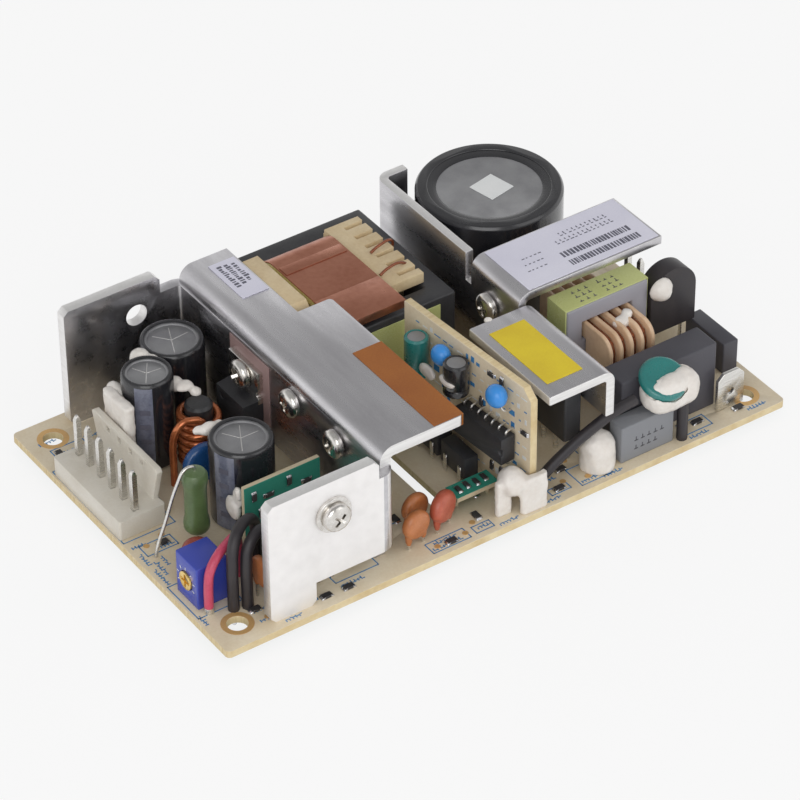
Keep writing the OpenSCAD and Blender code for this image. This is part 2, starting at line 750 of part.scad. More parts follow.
module transformer_bobbin() {
    cheek_w = coil_rear - coil_front + 0.2;
    color("tan")
        on_board()
            difference() {
                union() {
                    along_x(window_from, window_to) centre_section(0.2 + bobbin_t);
                    // Cheeks at both ends of the coil
                    for (x = [window_from, right_cheek_x])
                        along_x(x, x + bobbin_t)
                            translate([coil_front - 0.1, 0]) square([cheek_w, core_top + 1.5]);
                    // Tall rail beside the output heatsink, on a low shelf of the cheek
                    along_x(core_x + 0.5, window_from + bobbin_t)
                        translate([left_rail_y[0], core_top + 0.2])
                            square([left_rail_y[1] - left_rail_y[0], 1.3]);
                    along_x(core_x + 0.5, left_rail_far)
                        polygon([[left_rail_y[0], core_top + 0.2], [left_rail_y[1], core_top + 0.2],
                            [left_rail_y[1], left_cheek_top], [left_rail_y[0] + 1.6, left_cheek_top],
                            [left_rail_y[0], left_cheek_top - 1.6]]);
                    // Slotted rail on the other side
                    along_x(right_cheek_x, right_rail_far)
                        translate([coil_front + 0.7, core_top + 0.2])
                            square([coil_rear - coil_front - 0.9, right_rail_top - core_top - 0.2]);
                    // Pin rails that stand on the board
                    for (x = [[core_x + 0.2, window_from + bobbin_t], [right_cheek_x, core_far - 0.2]])
                        along_x(x[0], x[1])
                            translate([core_y + 1.5, 0]) square([core_w - 3, core_lift - 0.2]);
                }
                along_x(window_from - over, window_to + over) centre_section(0.2);
                for (k = [0:5])
                    translate([right_rail_far - 4.4, coil_front + 2.5 + k * 3.6, core_top + 1.2])
                        cube([core_leg + over, 1.1, 4]);
            }
}

// Outline of the coil in Y and Z, drawn in by g
module coil_outline(g) {
    translate([coil_front + g, coil_bottom + g])
        rounded_rect(coil_rear - coil_front - 2 * g, coil_top - coil_bottom - 2 * g, coil_corner_r - g);
}

module transformer_coil() {
    color("goldenrod")
        on_board()
            difference() {
                along_x(coil_from_x, right_cheek_x - 0.1) coil_outline(band_t + 0.05);
                along_x(coil_from_x - over, window_to + over) centre_section(0.3 + bobbin_t);
            }
}

module copper_band() {
    color("peru")
        on_board()
            along_x(coil_from_x, coil_from_x + band_w)
                difference() {
                    coil_outline(0);
                    coil_outline(band_t);
                }
}

module transformer_tape() {
    t = 0.25;
    color("khaki")
        on_board([0, 0, core_lift + 1.5])
            linear_extrude(core_h - 3)
                difference() {
                    translate([core_x - t, core_y - t]) square([core_l + t - 3.7, core_w + 2 * t]);
                    translate([core_x, core_y]) square([core_l, core_w]);
                }
}

module primary_heatsink() {
    t = primary_t;
    inner_r = primary_bend_r - t;
    low = primary_h - primary_bend_r;
    notch_z = primary_h - 6.4;
    rear_bend_y = primary_rear - primary_bend_r;
    color("silver")
        on_board()
            difference() {
                union() {
                    // Wall in front of, under and behind the relief notch
                    translate([primary_x, primary_front, primary_gap_h])
                        cube([t, label_flange_l, low - primary_gap_h]);
                    translate([primary_x, label_flange_rear - over, primary_gap_h])
                        cube([t, primary_notch_w + 2 * over, notch_z - primary_gap_h]);
                    translate([primary_x, label_flange_rear + primary_notch_w, primary_gap_h])
                        cube([t, rear_bend_y - label_flange_rear - primary_notch_w,
                            primary_h - primary_gap_h]);
                    // Legs
                    for (y = [primary_front + 3, rear_bend_y - 9])
                        translate([primary_x, y, 0]) cube([t, 6, primary_gap_h + over]);
                    // Flange that carries the label
                    along_y(primary_front, label_flange_rear) {
                        translate([primary_x + primary_bend_r, low])
                            quarter_ring(primary_bend_r, inner_r, -1, 1);
                        translate([primary_x + primary_bend_r, primary_h - t])
                            square([label_flange_w - primary_bend_r, t]);
                    }
                    // Return at the rear end
                    translate([primary_x + primary_bend_r, rear_bend_y, primary_gap_h])
                        linear_extrude(primary_h - primary_gap_h)
                            quarter_ring(primary_bend_r, inner_r, -1, 1);
                    translate([primary_x + primary_bend_r, primary_rear - t, primary_gap_h])
                        cube([primary_return_w - primary_bend_r, t, primary_h - primary_gap_h]);
                }
                translate([primary_x - over, primary_device[1], primary_device[3] + device_hole_z])
                    rotate([0, 90, 0]) cylinder(h = t + 2 * over, r = screw_r + screw_clear);
            }
}

module identification_label() {
    color("white")
        on_board([primary_x + primary_bend_r, primary_front + 0.4, primary_h])
            cube([label_flange_w - primary_bend_r - 0.5, label_flange_l - 0.8, tape_t]);
}

// A can capacitor's bare can: top disc, rolled rim and base
module can(d, h) {
    r = d / 2 - sleeve_t - 0.02;
    rotate_extrude()
        polygon([[0, 0], [r - 0.5, 0], [r, 0.5], [r, 2], [r - 0.6, 2.5], [r, 3], [r, h - 0.4],
            [r - 0.4, h], [r * 0.8, h], [r * 0.8, h - 0.25], [0, h - 0.25]]);
}

// The shrink sleeve round a can, turned in over the can's rim
module sleeve(d, h) {
    r = d / 2;
    rotate_extrude()
        polygon([[r - sleeve_t, 0.6], [r, 0.6], [r, h - 0.3], [r - 0.5, h + sleeve_t],
            [r * 0.83, h + sleeve_t], [r * 0.83, h + 0.02], [r - sleeve_t - 0.4, h + 0.02],
            [r - sleeve_t, h - 0.38]]);
}

module bulk_capacitor_can() {
    color("dimgray") on_board([bulk_x, bulk_y, 0]) can(bulk_d, bulk_h, $fn = 96);
}

module bulk_capacitor_sleeve() {
    color([0.1, 0.1, 0.11]) on_board([bulk_x, bulk_y, 0]) sleeve(bulk_d, bulk_h, $fn = 96);
}

module output_capacitor_cans() {
    color("silver") {
        on_board([cap_a[0], cap_a[1], 0]) can(cap_a_d, cap_a_h);
        on_board([cap_b[0], cap_b[1], 0]) can(cap_b_d, cap_b_h);
        on_board([cap_c[0], cap_c[1], 0]) can(cap_c_d, cap_c_h);
    }
}

module output_capacitor_sleeves() {
    color([0.12, 0.12, 0.13]) {
        on_board([cap_a[0], cap_a[1], 0]) sleeve(cap_a_d, cap_a_h);
        on_board([cap_b[0], cap_b[1], 0]) sleeve(cap_b_d, cap_b_h);
        on_board([cap_c[0], cap_c[1], 0]) sleeve(cap_c_d, cap_c_h);
    }
}

module choke_core() {
    color([0.36, 0.36, 0.38])
        on_board([choke_x, choke_y, choke_lift])
            difference() {
                cube([choke_l, choke_d, choke_h - choke_lift]);
                for (z = [choke_bar, choke_h - choke_lift - choke_bar - choke_slot_h])
                    translate([choke_bar, -over, z])
                        cube([choke_l - 2 * choke_bar, choke_d + 2 * over, choke_slot_h]);
            }
}

module choke_bobbin() {
    rib_y = choke_mid_y - choke_rib_d / 2;
    hub_h = choke_middle_h + 0.4;
    step = (rib_to - rib_from - choke_rib_t) / (choke_ribs - 1);
    color("antiquewhite")
        on_board()
            difference() {
                union() {
                    for (i = [0:choke_ribs - 1])
                        along_x(rib_from + i * step, rib_from + i * step + choke_rib_t)
                            translate([rib_y, choke_axis_z - rib_h / 2])
                                rounded_rect(choke_rib_d, rib_h, 3.4);
                    along_x(rib_from, rib_to)
                        translate([choke_mid_y - choke_d / 2 - 1.2, choke_axis_z - hub_h / 2 - 0.8])
                            square([choke_d + 2.4, hub_h + 1.6]);
                    // Feet at the two end ribs
                    for (x = [rib_from, rib_to - choke_rib_t], s = [-1, 1])
                        translate([x, choke_mid_y + s * (choke_d / 2 + 3) - 1.4, 0])
                            cube([choke_rib_t, 2.8, choke_axis_z]);
                }
                along_x(rib_from - over, rib_to + over)
                    translate([choke_mid_y - choke_d / 2 - 0.2, choke_axis_z - hub_h / 2])
                        square([choke_d + 0.4, hub_h]);
            }
}

module choke_windings() {
    step = (rib_to - rib_from - choke_rib_t) / (choke_ribs - 1);
    hub_h = choke_middle_h + 2.2;
    color([0.45, 0.18, 0.1])
        on_board()
            for (i = [0:choke_ribs - 2])
                along_x(rib_from + i * step + choke_rib_t + 0.05, rib_from + (i + 1) * step - 0.05)
                    difference() {
                        translate([choke_mid_y - choke_rib_d / 2 + 1.2, choke_axis_z - rib_h / 2 + 1.2])
                            rounded_rect(choke_rib_d - 2.4, rib_h - 2.4, 2.6);
                        translate([choke_mid_y - choke_d / 2 - 1.3, choke_axis_z - hub_h / 2])
                            square([choke_d + 2.6, hub_h]);
                    }
}

module choke_tape() {
    t = choke_tape_t;
    color("khaki")
        on_board()
            along_y(choke_y + 0.3, choke_y + choke_d - 0.3) {
                translate([choke_x - t, choke_h]) square([choke_l + 2 * t, t]);
                for (x = [choke_x - t, choke_x + choke_l])
                    translate([x, choke_lift]) square([t, choke_h - choke_lift]);
            }
}

module middle_bracket() {
    t = bracket_t;
    r = bracket_bend_r;
    leg_z = bracket_h - bracket_leg_h;
    color("silver")
        on_board() {
            along_y(bracket_y, bracket_y + bracket_l) {
                translate([bracket_x, bracket_h - t]) square([bracket_w - r, t]);
                translate([bracket_far - r, bracket_h - r]) quarter_ring(r, r - t, 1, 1);
                translate([bracket_far - t, leg_z]) square([t, bracket_leg_h - r]);
            }
            // Foot that reaches the board
            translate([bracket_far - t, bracket_foot_y, 0]) cube([t, bracket_foot_w, leg_z + over]);
        }
}

module bracket_patch() {
    color("gold")
        on_board([bracket_x + 2, bracket_y + 3.6, bracket_h]) cube([8.1, 18.4, tape_t]);
}

module bridge_rectifier() {
    color([0.15, 0.15, 0.16])
        on_board([bridge_at[0], bridge_at[1], bridge_lift]) rounded_box(bridge_size, 0.5);
    color("silver") leads(bridge_lead_places, bridge_lift + 0.2, 1);
}

module x_capacitor() {
    color([0.3, 0.31, 0.33])
        on_board([x_cap_at[0], x_cap_at[1], 0]) rounded_box([x_cap_l, x_cap_w, x_cap_h], 0.4);
}

module film_capacitor() {
    color([0.5, 0.5, 0.53])
        on_board([film_at[0], film_at[1], 0]) rounded_box([film_l, film_w, film_h], 0.3);
}

module fuse_block() {
    color([0.22, 0.23, 0.25])
        on_board([fuse_at[0], fuse_at[1], 0]) rounded_box(fuse_size, 0.3);
}

// A dipped disc standing on two leads
module disc(d) {
    on_board([d[0], d[1], d[2]])
        rotate([90, 0, d[5]])
            translate([0, 0, -d[4] / 2])
                rotate_extrude()
                    polygon([[0, 0], [d[3] * 0.8, 0], [d[3], d[4] * 0.3],
                        [d[3], d[4] * 0.7], [d[3] * 0.8, d[4]], [0, d[4]]]);
    for (s = [-1, 1])
        on_board([d[0] + s * disc_lead_reach(d) * cos(d[5]), d[1] + s * disc_lead_reach(d) * sin(d[5]), 0])
            cylinder(h = d[2] - d[3] * 0.6, d = lead_d, $fn = 16);
}

module ceramic_discs() {
    color("chocolate") for (d = disc_parts) disc(d);
}

module red_ceramic() {
    color("brown") disc(red_disc);
}

module filter_disc() {
    color("royalblue") disc(filter_disc_at);
}

module thermistor() {
    r = thermistor_d / 2;
    color([0.12, 0.12, 0.13])
        on_board([thermistor_at[0], thermistor_at[1] - thermistor_t / 2, 0])
            along_y(0, thermistor_t) {
                translate([0, thermistor_h - r]) circle(r);
                translate([-r, thermistor_lift]) square([2 * r, thermistor_h - r - thermistor_lift]);
            }
    color("silver") leads(thermistor_lead_places, thermistor_lift + 0.1);
}

module safety_capacitor() {
    color("lightseagreen")
        on_board(safety_at)
            rotate([safety_tilt, 0, 0])
                translate([0, 0, -safety_t / 2]) cylinder(h = safety_t, r = safety_r);
}

module ground_tab() {
    color("gainsboro")
        on_board([ground_tab_x, ground_tab_y, 0])
            difference() {
                along_y(0, 0.8)
                    polygon([[0, 0], [ground_tab_w, 0], [ground_tab_w, ground_tab_h - 1.4],
                        [ground_tab_w - 1.4, ground_tab_h], [1.4, ground_tab_h], [0, ground_tab_h - 1.4]]);
                translate([ground_tab_w / 2, -over, ground_tab_h * 0.45])
                    rotate([-90, 0, 0]) cylinder(h = 3, r = 0.75);
            }
}

module sleeved_lead() {
    color([0.13, 0.12, 0.14])
        on_board() {
            tube(lead_route, lead_sleeve_r);
            tube(riser_route, lead_sleeve_r);
        }
}

// A rounded bead of silicone with a flat foot
module bead(at, r, h) {
    on_board(at) {
        cylinder(h = max(0.2, h - r), r = r);
        translate([0, 0, h - r])
            intersection() {
                sphere(r);
                translate([0, 0, r]) cube(2 * r + 1, center = true);
            }
    }
}

module adhesive_beads() {
    color("white") {
        // Bead in front of the middle bracket
        bead([85.6, 5, 0], 3.5, 8);
        // Bead that holds the tilted disc on the film capacitor
        on_board()
            difference() {
                union() {
                    translate([98.6, 3, 12.4]) rotate([0, 90, 0]) cylinder(h = 4.6, r = 3.9);
                    for (x = [98.6, 103.2]) translate([x, 3, 12.4]) sphere(3.9);
                }
                translate(safety_at) rotate([safety_tilt, 0, 0])
                    translate([0, 0, -safety_t / 2 - 0.1]) cylinder(h = safety_t + 0.2, r = safety_r + 0.1);
                translate([80, -5, 0]) cube([40, 20, film_h + 0.1]);
                translate([80, x_cap_at[1] - 0.1, 0]) cube([40, 20, 30]);
            }
        // Bead at the front edge of the upright control board, on its own drip
        on_board() {
            translate([64.8, 3.4, 6.8]) sphere(2.9);
            translate([61, 2.6, 0]) cube([3.3, 1.5, 8]);
            translate([65.2, 0.5, 0]) rounded_box([6, 1.6, 8], 0.7);
        }
        // Bead between the line filter and the sleeved limiter
        on_board()
            difference() {
                translate([thermistor_at[0] - 3.6, thermistor_at[1] - thermistor_t / 2, 18.4]) sphere(2.6);
                translate([thermistor_at[0] - 10, thermistor_at[1] - thermistor_t / 2 - 0.02, 10]) cube(20);
                translate([choke_x, choke_y - 0.1, 0]) cube([choke_l + choke_tape_t + 0.1, 20, 30]);
            }
        // Beads between the output capacitors
        bead([23.06, 59.1, 0], 0.75, 15);
        on_board([header_base_x + header_base[0] + gap, cap_b[1] - 4.9, 0]) rounded_box([2.2, 9, 17.2], 1);
    }
}

module header_pins_at(places) {
    w = header_pin_w;
    for (p = places)
        on_board([p[0] - w / 2, p[1] - w / 2, 0]) cube([w, w, header_pin_h]);
}

module header_base_at(x, y, size, pins) {
    difference() {
        on_board([x, y, 0]) rounded_box(size, 0.5);
        for (p = pins)
            on_board([p[0] - header_pin_w / 2 - 0.02, p[1] - header_pin_w / 2 - 0.02, -over])
                cube([header_pin_w + 0.04, header_pin_w + 0.04, size[2] + 2 * over]);
    }
}

module output_header_base() {
    lock_x = header_base_x + header_base[0] - 1.3;
    from = header_first_y - header_pitch / 2;
    color("linen") {
        header_base_at(header_base_x, from, header_base, header_pin_places);
        // Friction lock behind the pins
        on_board([0, from, header_base[2]])
            along_x(lock_x, lock_x + 1.2)
                difference() {
                    polygon([[2.6, -0.5], [0.3, header_lock_z - header_base[2] - 0.6],
                        [1, header_lock_z - header_base[2]],
                        [header_base[1] - 1, header_lock_z - header_base[2]],
                        [header_base[1] - 0.3, header_lock_z - header_base[2] - 0.6],
                        [header_base[1] - 2.6, -0.5]]);
                    for (i = [1:header_pins - 2])
                        translate([(i + 0.5) * header_pitch - 0.6, header_lock_z - header_base[2] - 2.2])
                            square([1.2, 1.2]);
                }
    }
}

module output_header_pins() {
    color("gainsboro") header_pins_at(header_pin_places);
}

module ac_header_base() {
    color("linen")
        header_base_at(ac_header_at[0], ac_header_at[1] + 0.6,
            [ac_header_l, ac_pins * header_pitch, header_base[2]], ac_pin_places);
}

module ac_header_pins() {
    color("gainsboro") header_pins_at(ac_pin_places);
}

// Puts a piece on the upright board: x out of its face towards -X, y back from its front edge
module on_control(x, y, z) {
    on_board([control_at[0], control_at[1], z])
        rotate([0, 0, control_turn])
            translate([-x, -control_l + y, 0])
                children();
}

module control_board() {
    color("burlywood")
        on_control(0, 0, 0)
            difference() {
                cube([control_t, control_l, control_h]);
                translate([-over, 0, control_h])
                    rotate([45, 0, 0]) cube([control_t + 2 * over, 3, 3], center = false);
                translate([-over, -0.01, control_h - 2.2])
                    rotate([0, 90, 0]) mirror([1, 0, 0])
                        linear_extrude(control_t + 2 * over)
                            polygon([[2.21, 0], [2.21, 2.2], [0, 0]]);
            }
}

module control_chip() {
    color([0.1, 0.1, 0.11])
        on_control(chip_t + 0.4, chip_front, chip_z)
            cube([chip_t, chip_l, chip_w - 0.6]);
    color("silver")
        for (k = [0:6], s = [0, 1])
            on_control(0.9 + 0.02, chip_front + 0.8 + k * (chip_l - 1.6) / 6 - 0.25,
                chip_z - 0.5 + s * (chip_w + 0.4 - 0.5))
                cube([0.9, 0.5, 0.5]);
}

module control_electrolytics() {
    color([0.12, 0.12, 0.14])
        on_control(0.3 + 5, 15.6, 17.4) rotate([0, 0, 0]) translate([2.5, 2.5, 0]) can(5, 7);
    color("seagreen")
        on_control(0.3 + 4.7, 27.6, 14.5) translate([2.35, 2.35, 0]) can(4.7, 9);
}

module control_ceramics() {
    color("dodgerblue") {
        on_control(2.6, 6.8, 23.2) sphere(2.3);
        on_control(2.6, 22.8, 23.2) sphere(2.1);
    }
}

module auxiliary_board() {
    color("seagreen")
        on_board([aux_at[0], aux_at[1], aux_z]) cube(aux_size);
    color("silver") leads(aux_pin_places, aux_z + 0.1);
}

module optocouplers() {
    color([0.12, 0.12, 0.13])
        for (p = opto_places)
            on_board([p[0], p[1], 0]) rounded_box(opto_size, 0.3);
}

module output_choke_core() {
    color([0.15, 0.15, 0.16])
        on_board([rod_at[0], rod_at[1], 0])
            rotate_extrude()
                polygon([[0, 0], [rod_d / 2, 0], [rod_d / 2, rod_top - 0.5], [rod_d / 2 - 0.5, rod_top],
                    [0, rod_top]]);
}

module output_choke_winding() {
    color("sienna") on_board() tube(coil_route, coil_wire_d / 2);
}

module axial_resistor() {
    top = resistor_top;
    bare = 3;
    color("darkolivegreen")
        on_board([resistor_at[0], resistor_at[1], 0])
            rotate_extrude()
                polygon([[0, bare], [resistor_r * 0.8, bare],
                    [resistor_r, bare + 1], [resistor_r, bare + 2.6],
                    [resistor_r * 0.86, bare + 3.6], [resistor_r * 0.86, top - 3.6], [resistor_r, top - 2.6],
                    [resistor_r, top - 1], [resistor_r * 0.8, top], [0, top]]);
    color("silver") {
        leads([resistor_at], bare + 0.1);
        on_board()
            tube(resistor_route, lead_d / 2);
    }
}

module trimmer_housing() {
    color("mediumblue")
        on_board([trimmer_x, trimmer_y, 0])
            difference() {
                rounded_box([trimmer_l, trimmer_w, trimmer_h], 0.3);
                translate([-over, rotor_y - trimmer_y, rotor_z])
                    rotate([0, 90, 0])
                        cylinder(h = over + rotor_disc_t + rotor_clear, r = rotor_r + rotor_clear);
                translate([rotor_disc_t, rotor_y - trimmer_y, rotor_z])
                    rotate([0, 90, 0])
                        cylinder(h = rotor_socket - rotor_disc_t, r = rotor_flange_r + rotor_clear);
            }
}

module trimmer_rotor() {
    face = 0.3;
    color("goldenrod")
        on_board([trimmer_x, rotor_y, rotor_z])
            rotate([0, 90, 0])
                difference() {
                    union() {
                        translate([0, 0, -face])
                            cylinder(h = rotor_disc_t + face + 3 * rotor_clear, r = rotor_r);
                        translate([0, 0, rotor_disc_t + rotor_clear])
                            cylinder(h = rotor_flange_t + rotor_clear, r = rotor_flange_r);
                    }
                    for (a = [0, 90])
                        translate([0, 0, -face]) rotate([0, 0, a]) cube([2.9, 0.6, 1.2], center = true);
                }
}

module red_lead() {
    color("crimson") on_board() tube(red_route, 0.9);
}

module black_leads() {
    color([0.13, 0.12, 0.14]) on_board() for (r = black_routes) tube(r, lead_sleeve_r);
}

module sense_board() {
    color("seagreen")
        on_board([sense_x, sense_y, 0]) cube([sense_l, sense_t, sense_h]);
}

circuit_board();
solder_joints();
output_heatsink();
ear_screw();
ear_washer();
sink_screws();
screw_nuts();
output_rectifiers();
flange_tape();
small_label();
transformer_core();
transformer_bobbin();
transformer_coil();
copper_band();
transformer_tape();
primary_heatsink();
identification_label();
switching_transistor();
bulk_capacitor_can();
bulk_capacitor_sleeve();
choke_core();
choke_bobbin();
choke_windings();
choke_tape();
middle_bracket();
bracket_patch();
bridge_rectifier();
x_capacitor();
film_capacitor();
fuse_block();
thermistor();
safety_capacitor();
ground_tab();
sleeved_lead();
adhesive_beads();
ac_header_base();
ac_header_pins();
control_board();
control_chip();
control_electrolytics();
control_ceramics();
auxiliary_board();
optocouplers();
output_header_base();
output_header_pins();
output_capacitor_cans();
output_capacitor_sleeves();
output_choke_core();
output_choke_winding();
axial_resistor();
filter_disc();
red_ceramic();
trimmer_housing();
trimmer_rotor();
red_lead();
black_leads();
sense_board();
ceramic_discs();
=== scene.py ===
"""An open frame power supply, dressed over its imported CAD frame."""

import logging
import math
import random
from collections.abc import Callable, Iterator, Sequence
from contextlib import contextmanager
from dataclasses import dataclass
from enum import Enum

import bpy
from mathutils import Matrix, Vector


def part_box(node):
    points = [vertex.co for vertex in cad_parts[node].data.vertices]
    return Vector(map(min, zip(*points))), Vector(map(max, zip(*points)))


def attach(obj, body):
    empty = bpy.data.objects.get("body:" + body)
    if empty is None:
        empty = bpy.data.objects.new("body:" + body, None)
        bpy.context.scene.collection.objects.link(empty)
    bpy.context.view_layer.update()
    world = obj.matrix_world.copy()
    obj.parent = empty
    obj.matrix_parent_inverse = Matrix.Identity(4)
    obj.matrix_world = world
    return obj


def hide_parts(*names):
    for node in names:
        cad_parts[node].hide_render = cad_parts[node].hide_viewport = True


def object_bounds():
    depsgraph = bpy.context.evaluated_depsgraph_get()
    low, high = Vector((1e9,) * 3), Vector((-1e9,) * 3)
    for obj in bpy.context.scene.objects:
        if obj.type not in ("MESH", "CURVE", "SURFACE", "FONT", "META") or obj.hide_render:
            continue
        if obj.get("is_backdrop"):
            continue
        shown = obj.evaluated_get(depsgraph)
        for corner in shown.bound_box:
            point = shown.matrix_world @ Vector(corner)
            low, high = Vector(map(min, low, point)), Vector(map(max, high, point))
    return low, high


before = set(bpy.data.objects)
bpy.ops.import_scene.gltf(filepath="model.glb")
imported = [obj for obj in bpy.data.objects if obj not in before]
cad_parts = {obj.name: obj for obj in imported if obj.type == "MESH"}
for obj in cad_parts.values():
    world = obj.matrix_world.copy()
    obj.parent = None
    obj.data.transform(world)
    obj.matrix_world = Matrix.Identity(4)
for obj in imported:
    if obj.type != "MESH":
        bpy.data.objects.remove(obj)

MM = 0.001
BOARD_CORNER = Vector((-63.5, -38.1, 1.6))
Colour = tuple[float, float, float]
Test = Callable[[Vector, Vector], bool]
Thing = bpy.types.Object
log = logging.getLogger("power_supply")


class Body(Enum):
    """The bodies that a piece can ride on."""

    BOARD = "board"
    ROTOR = "rotor"


class Axis(Enum):
    """The turn that lays a bar, made upright, along an axis."""

    X = (0.0, math.pi / 2, 0.0)
    Y = (math.pi / 2, 0.0, 0.0)
    Z = (0.0, 0.0, 0.0)


class Grain(Enum):
    """How far a finish's pattern is drawn out along X, Y and Z."""

    CLOUD = (1.0, 1.0, 1.0)
    ROLLED = (6.0, 1.0, 6.0)
    DRAWN = (1.0, 1.0, 14.0)
    LAYERS = (1.0, 12.0, 1.0)


def at(x: float, y: float, z: float = 0.0) -> Vector:
    """A place in millimetres from the board's front left corner and top face, in the row frame."""
    return (Vector((x, y, z)) + BOARD_CORNER) * MM


# ---------------------------------------------------------------- the bench


def deselect() -> None:
    """Leaves nothing selected."""
    bpy.ops.object.select_all(action="DESELECT")


def take(piece: Thing) -> Thing:
    """Selects this piece alone and makes it the active one."""
    deselect()
    piece.select_set(True)
    bpy.context.view_layer.objects.active = piece
    return piece


def settle(piece: Thing, name: str = "") -> Thing:
    """Moves a piece's place, turn and size into its mesh."""
    take(piece)
    bpy.ops.object.transform_apply(location=True, rotation=True, scale=True)
    if name:
        piece.name = name
    return piece


def block(name: str, low: Vector, high: Vector) -> Thing:
    """A block between its lowest and highest corner."""
    deselect()
    bpy.ops.mesh.primitive_cube_add(size=1, location=(low + high) / 2, scale=high - low)
    return settle(bpy.context.object, name)


def bar(
    name: str, centre: Vector, radius: float, length: float, axis: Axis = Axis.Z, sides: int = 40,
) -> Thing:
    """A round bar about its centre, radius and length in metres."""
    deselect()
    bpy.ops.mesh.primitive_cylinder_add(
        vertices=sides, radius=radius, depth=length, location=centre, rotation=axis.value
    )
    return settle(bpy.context.object, name)


def ball(name: str, centre: Vector, radii: Sequence[float], rings: int = 20) -> Thing:
    """A ball or egg with its own radius along each axis."""
    deselect()
    bpy.ops.mesh.primitive_uv_sphere_add(segments=2 * rings, ring_count=rings, radius=1, location=centre)
    bpy.context.object.scale = radii
    return smooth(settle(bpy.context.object, name), 80)


def modify(piece: Thing, kind: str, **settings: object) -> Thing:
    """Adds a modifier with these settings and applies it.

    Args:
        piece: The mesh that takes it.
        kind: Blender's name of the modifier's type.
        settings: The modifier's own values.

    Returns:
        The same piece.
    """
    take(piece)
    modifier = piece.modifiers.new(kind.lower(), kind)
    for key, value in settings.items():
        setattr(modifier, key, value)
    bpy.ops.object.modifier_apply(modifier=modifier.name)
    return piece


def smooth(piece: Thing, angle: float = 35) -> Thing:
    """Shades a piece smooth wherever it bends less than this angle."""
    take(piece)
    bpy.ops.object.shade_smooth_by_angle(angle=math.radians(angle))
    return piece


def soften(piece: Thing, width: float, segments: int = 2, angle: float = 35) -> Thing:
    """Rounds a piece's edges by a width in millimetres."""
    modify(
        piece,
        "BEVEL",
        width=width * MM,
        segments=segments,
        limit_method="ANGLE",
        angle_limit=math.radians(angle),
        use_clamp_overlap=True,
    )
    return smooth(piece, 42)


@contextmanager
def editing(piece: Thing, chosen: Test | None = None) -> Iterator[None]:
    """Edit mode on a piece, with all its faces selected or those that a test picks."""
    take(piece)
    bpy.ops.object.mode_set(mode="EDIT")
    bpy.ops.mesh.select_mode(type="FACE")
    bpy.ops.mesh.select_all(action="DESELECT" if chosen else "SELECT")
    bpy.ops.object.mode_set(mode="OBJECT")
    if chosen:
        for face in piece.data.polygons:
            face.select = bool(chosen(face.center, face.normal))
    bpy.ops.object.mode_set(mode="EDIT")
    yield
    bpy.ops.object.mode_set(mode="OBJECT")


def join(name: str, parts: Sequence[Thing]) -> Thing:
    """Joins parts into one piece."""
    take(parts[0])
    for part in parts:
        part.select_set(True)
    if len(parts) > 1:
        bpy.ops.object.join()
    parts[0].name = name
    return parts[0]


def copied(piece: Thing, place: Vector, turn: float = 0.0) -> Thing:
    """A copy with its own mesh, turned about Z and moved from the origin to a place."""
    twin = piece.copy()
    twin.data = piece.data.copy()
    bpy.context.scene.collection.objects.link(twin)
    twin.location = place
    twin.rotation_euler = (0, 0, turn)
    return settle(twin)


def discard(piece: Thing) -> None:
    """Takes a pattern piece away again."""
    bpy.data.objects.remove(piece)


def shell_of(node: str, edge: float = 0.15, segments: int = 2, angle: float = 35) -> Thing:
    """A merged copy of a CAD node with softened edges, which stands for it.

    Args:
        node: The CAD node's name.
        edge: How far its edges are rounded, in millimetres.
        segments: Steps across a rounded edge.
        angle: The bend, in degrees, from which an edge is rounded.

    Returns:
        The new piece.
    """
    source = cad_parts[node]
    piece = source.copy()
    piece.data = source.data.copy()
    bpy.context.scene.collection.objects.link(piece)
    piece.parent = None
    for key in list(piece.keys()):
        del piece[key]
    piece.name = node + "_shell"
    with editing(piece):
        bpy.ops.mesh.remove_doubles(threshold=2e-6)
        bpy.ops.mesh.dissolve_limited(angle_limit=math.radians(0.6))
    return soften(piece, edge, segments, angle) if edge else smooth(piece)


def wire(name: str, route: Sequence[Vector], radius: float, steps: int = 6, round_steps: int = 3) -> Thing:
    """A wire or sleeve along a smooth route, with closed ends.

    Args:
        name: The piece's name.
        route: The points that it follows, in the row frame.
        radius: Its radius in millimetres.
        steps: Rings between two points of the route.
        round_steps: How finely it is rounded.

    Returns:
        The piece as a mesh.
    """
    curve = bpy.data.curves.new(name, "CURVE")
    curve.dimensions = "3D"
    curve.resolution_u = steps
    curve.bevel_depth = radius * MM
    curve.bevel_resolution = round_steps
    curve.use_fill_caps = True
    line = curve.splines.new("BEZIER")
    line.bezier_points.add(len(route) - 1)
    for knot, place in zip(line.bezier_points, route):
        knot.co = place
        knot.handle_left_type = knot.handle_right_type = "AUTO"
    piece = bpy.data.objects.new(name, curve)
    bpy.context.scene.collection.objects.link(piece)
    take(piece)
    bpy.ops.object.convert(target="MESH")
    piece = bpy.context.object
    with editing(piece):
        bpy.ops.mesh.remove_doubles(threshold=1e-6)
        bpy.ops.mesh.normals_make_consistent(inside=False)
    return smooth(piece, 50)


def stand(piece: Thing, slot: str, *replaced: str, body: Body = Body.BOARD) -> Thing:
    """Makes a finished piece ride on its body and stand for CAD nodes.

    Args:
        piece: The piece, in place.
        slot: The record's material slot; it is not used.
        replaced: The CAD nodes that it stands for.
        body: The body that it rides on.

    Returns:
        The same piece.
    """
    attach(piece, body.value)
    if replaced:
        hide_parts(*replaced)
    log.info("%s: %d faces", piece.name, len(piece.data.polygons))
    return piece


def mm(x: float, y: float, z: float) -> Vector:
    """A step in millimetres."""
    return Vector((x, y, z)) * MM


def local(place: Vector) -> Vector:
    """A place of the row frame in millimetres from the board's front left corner."""
    return place / MM - BOARD_CORNER


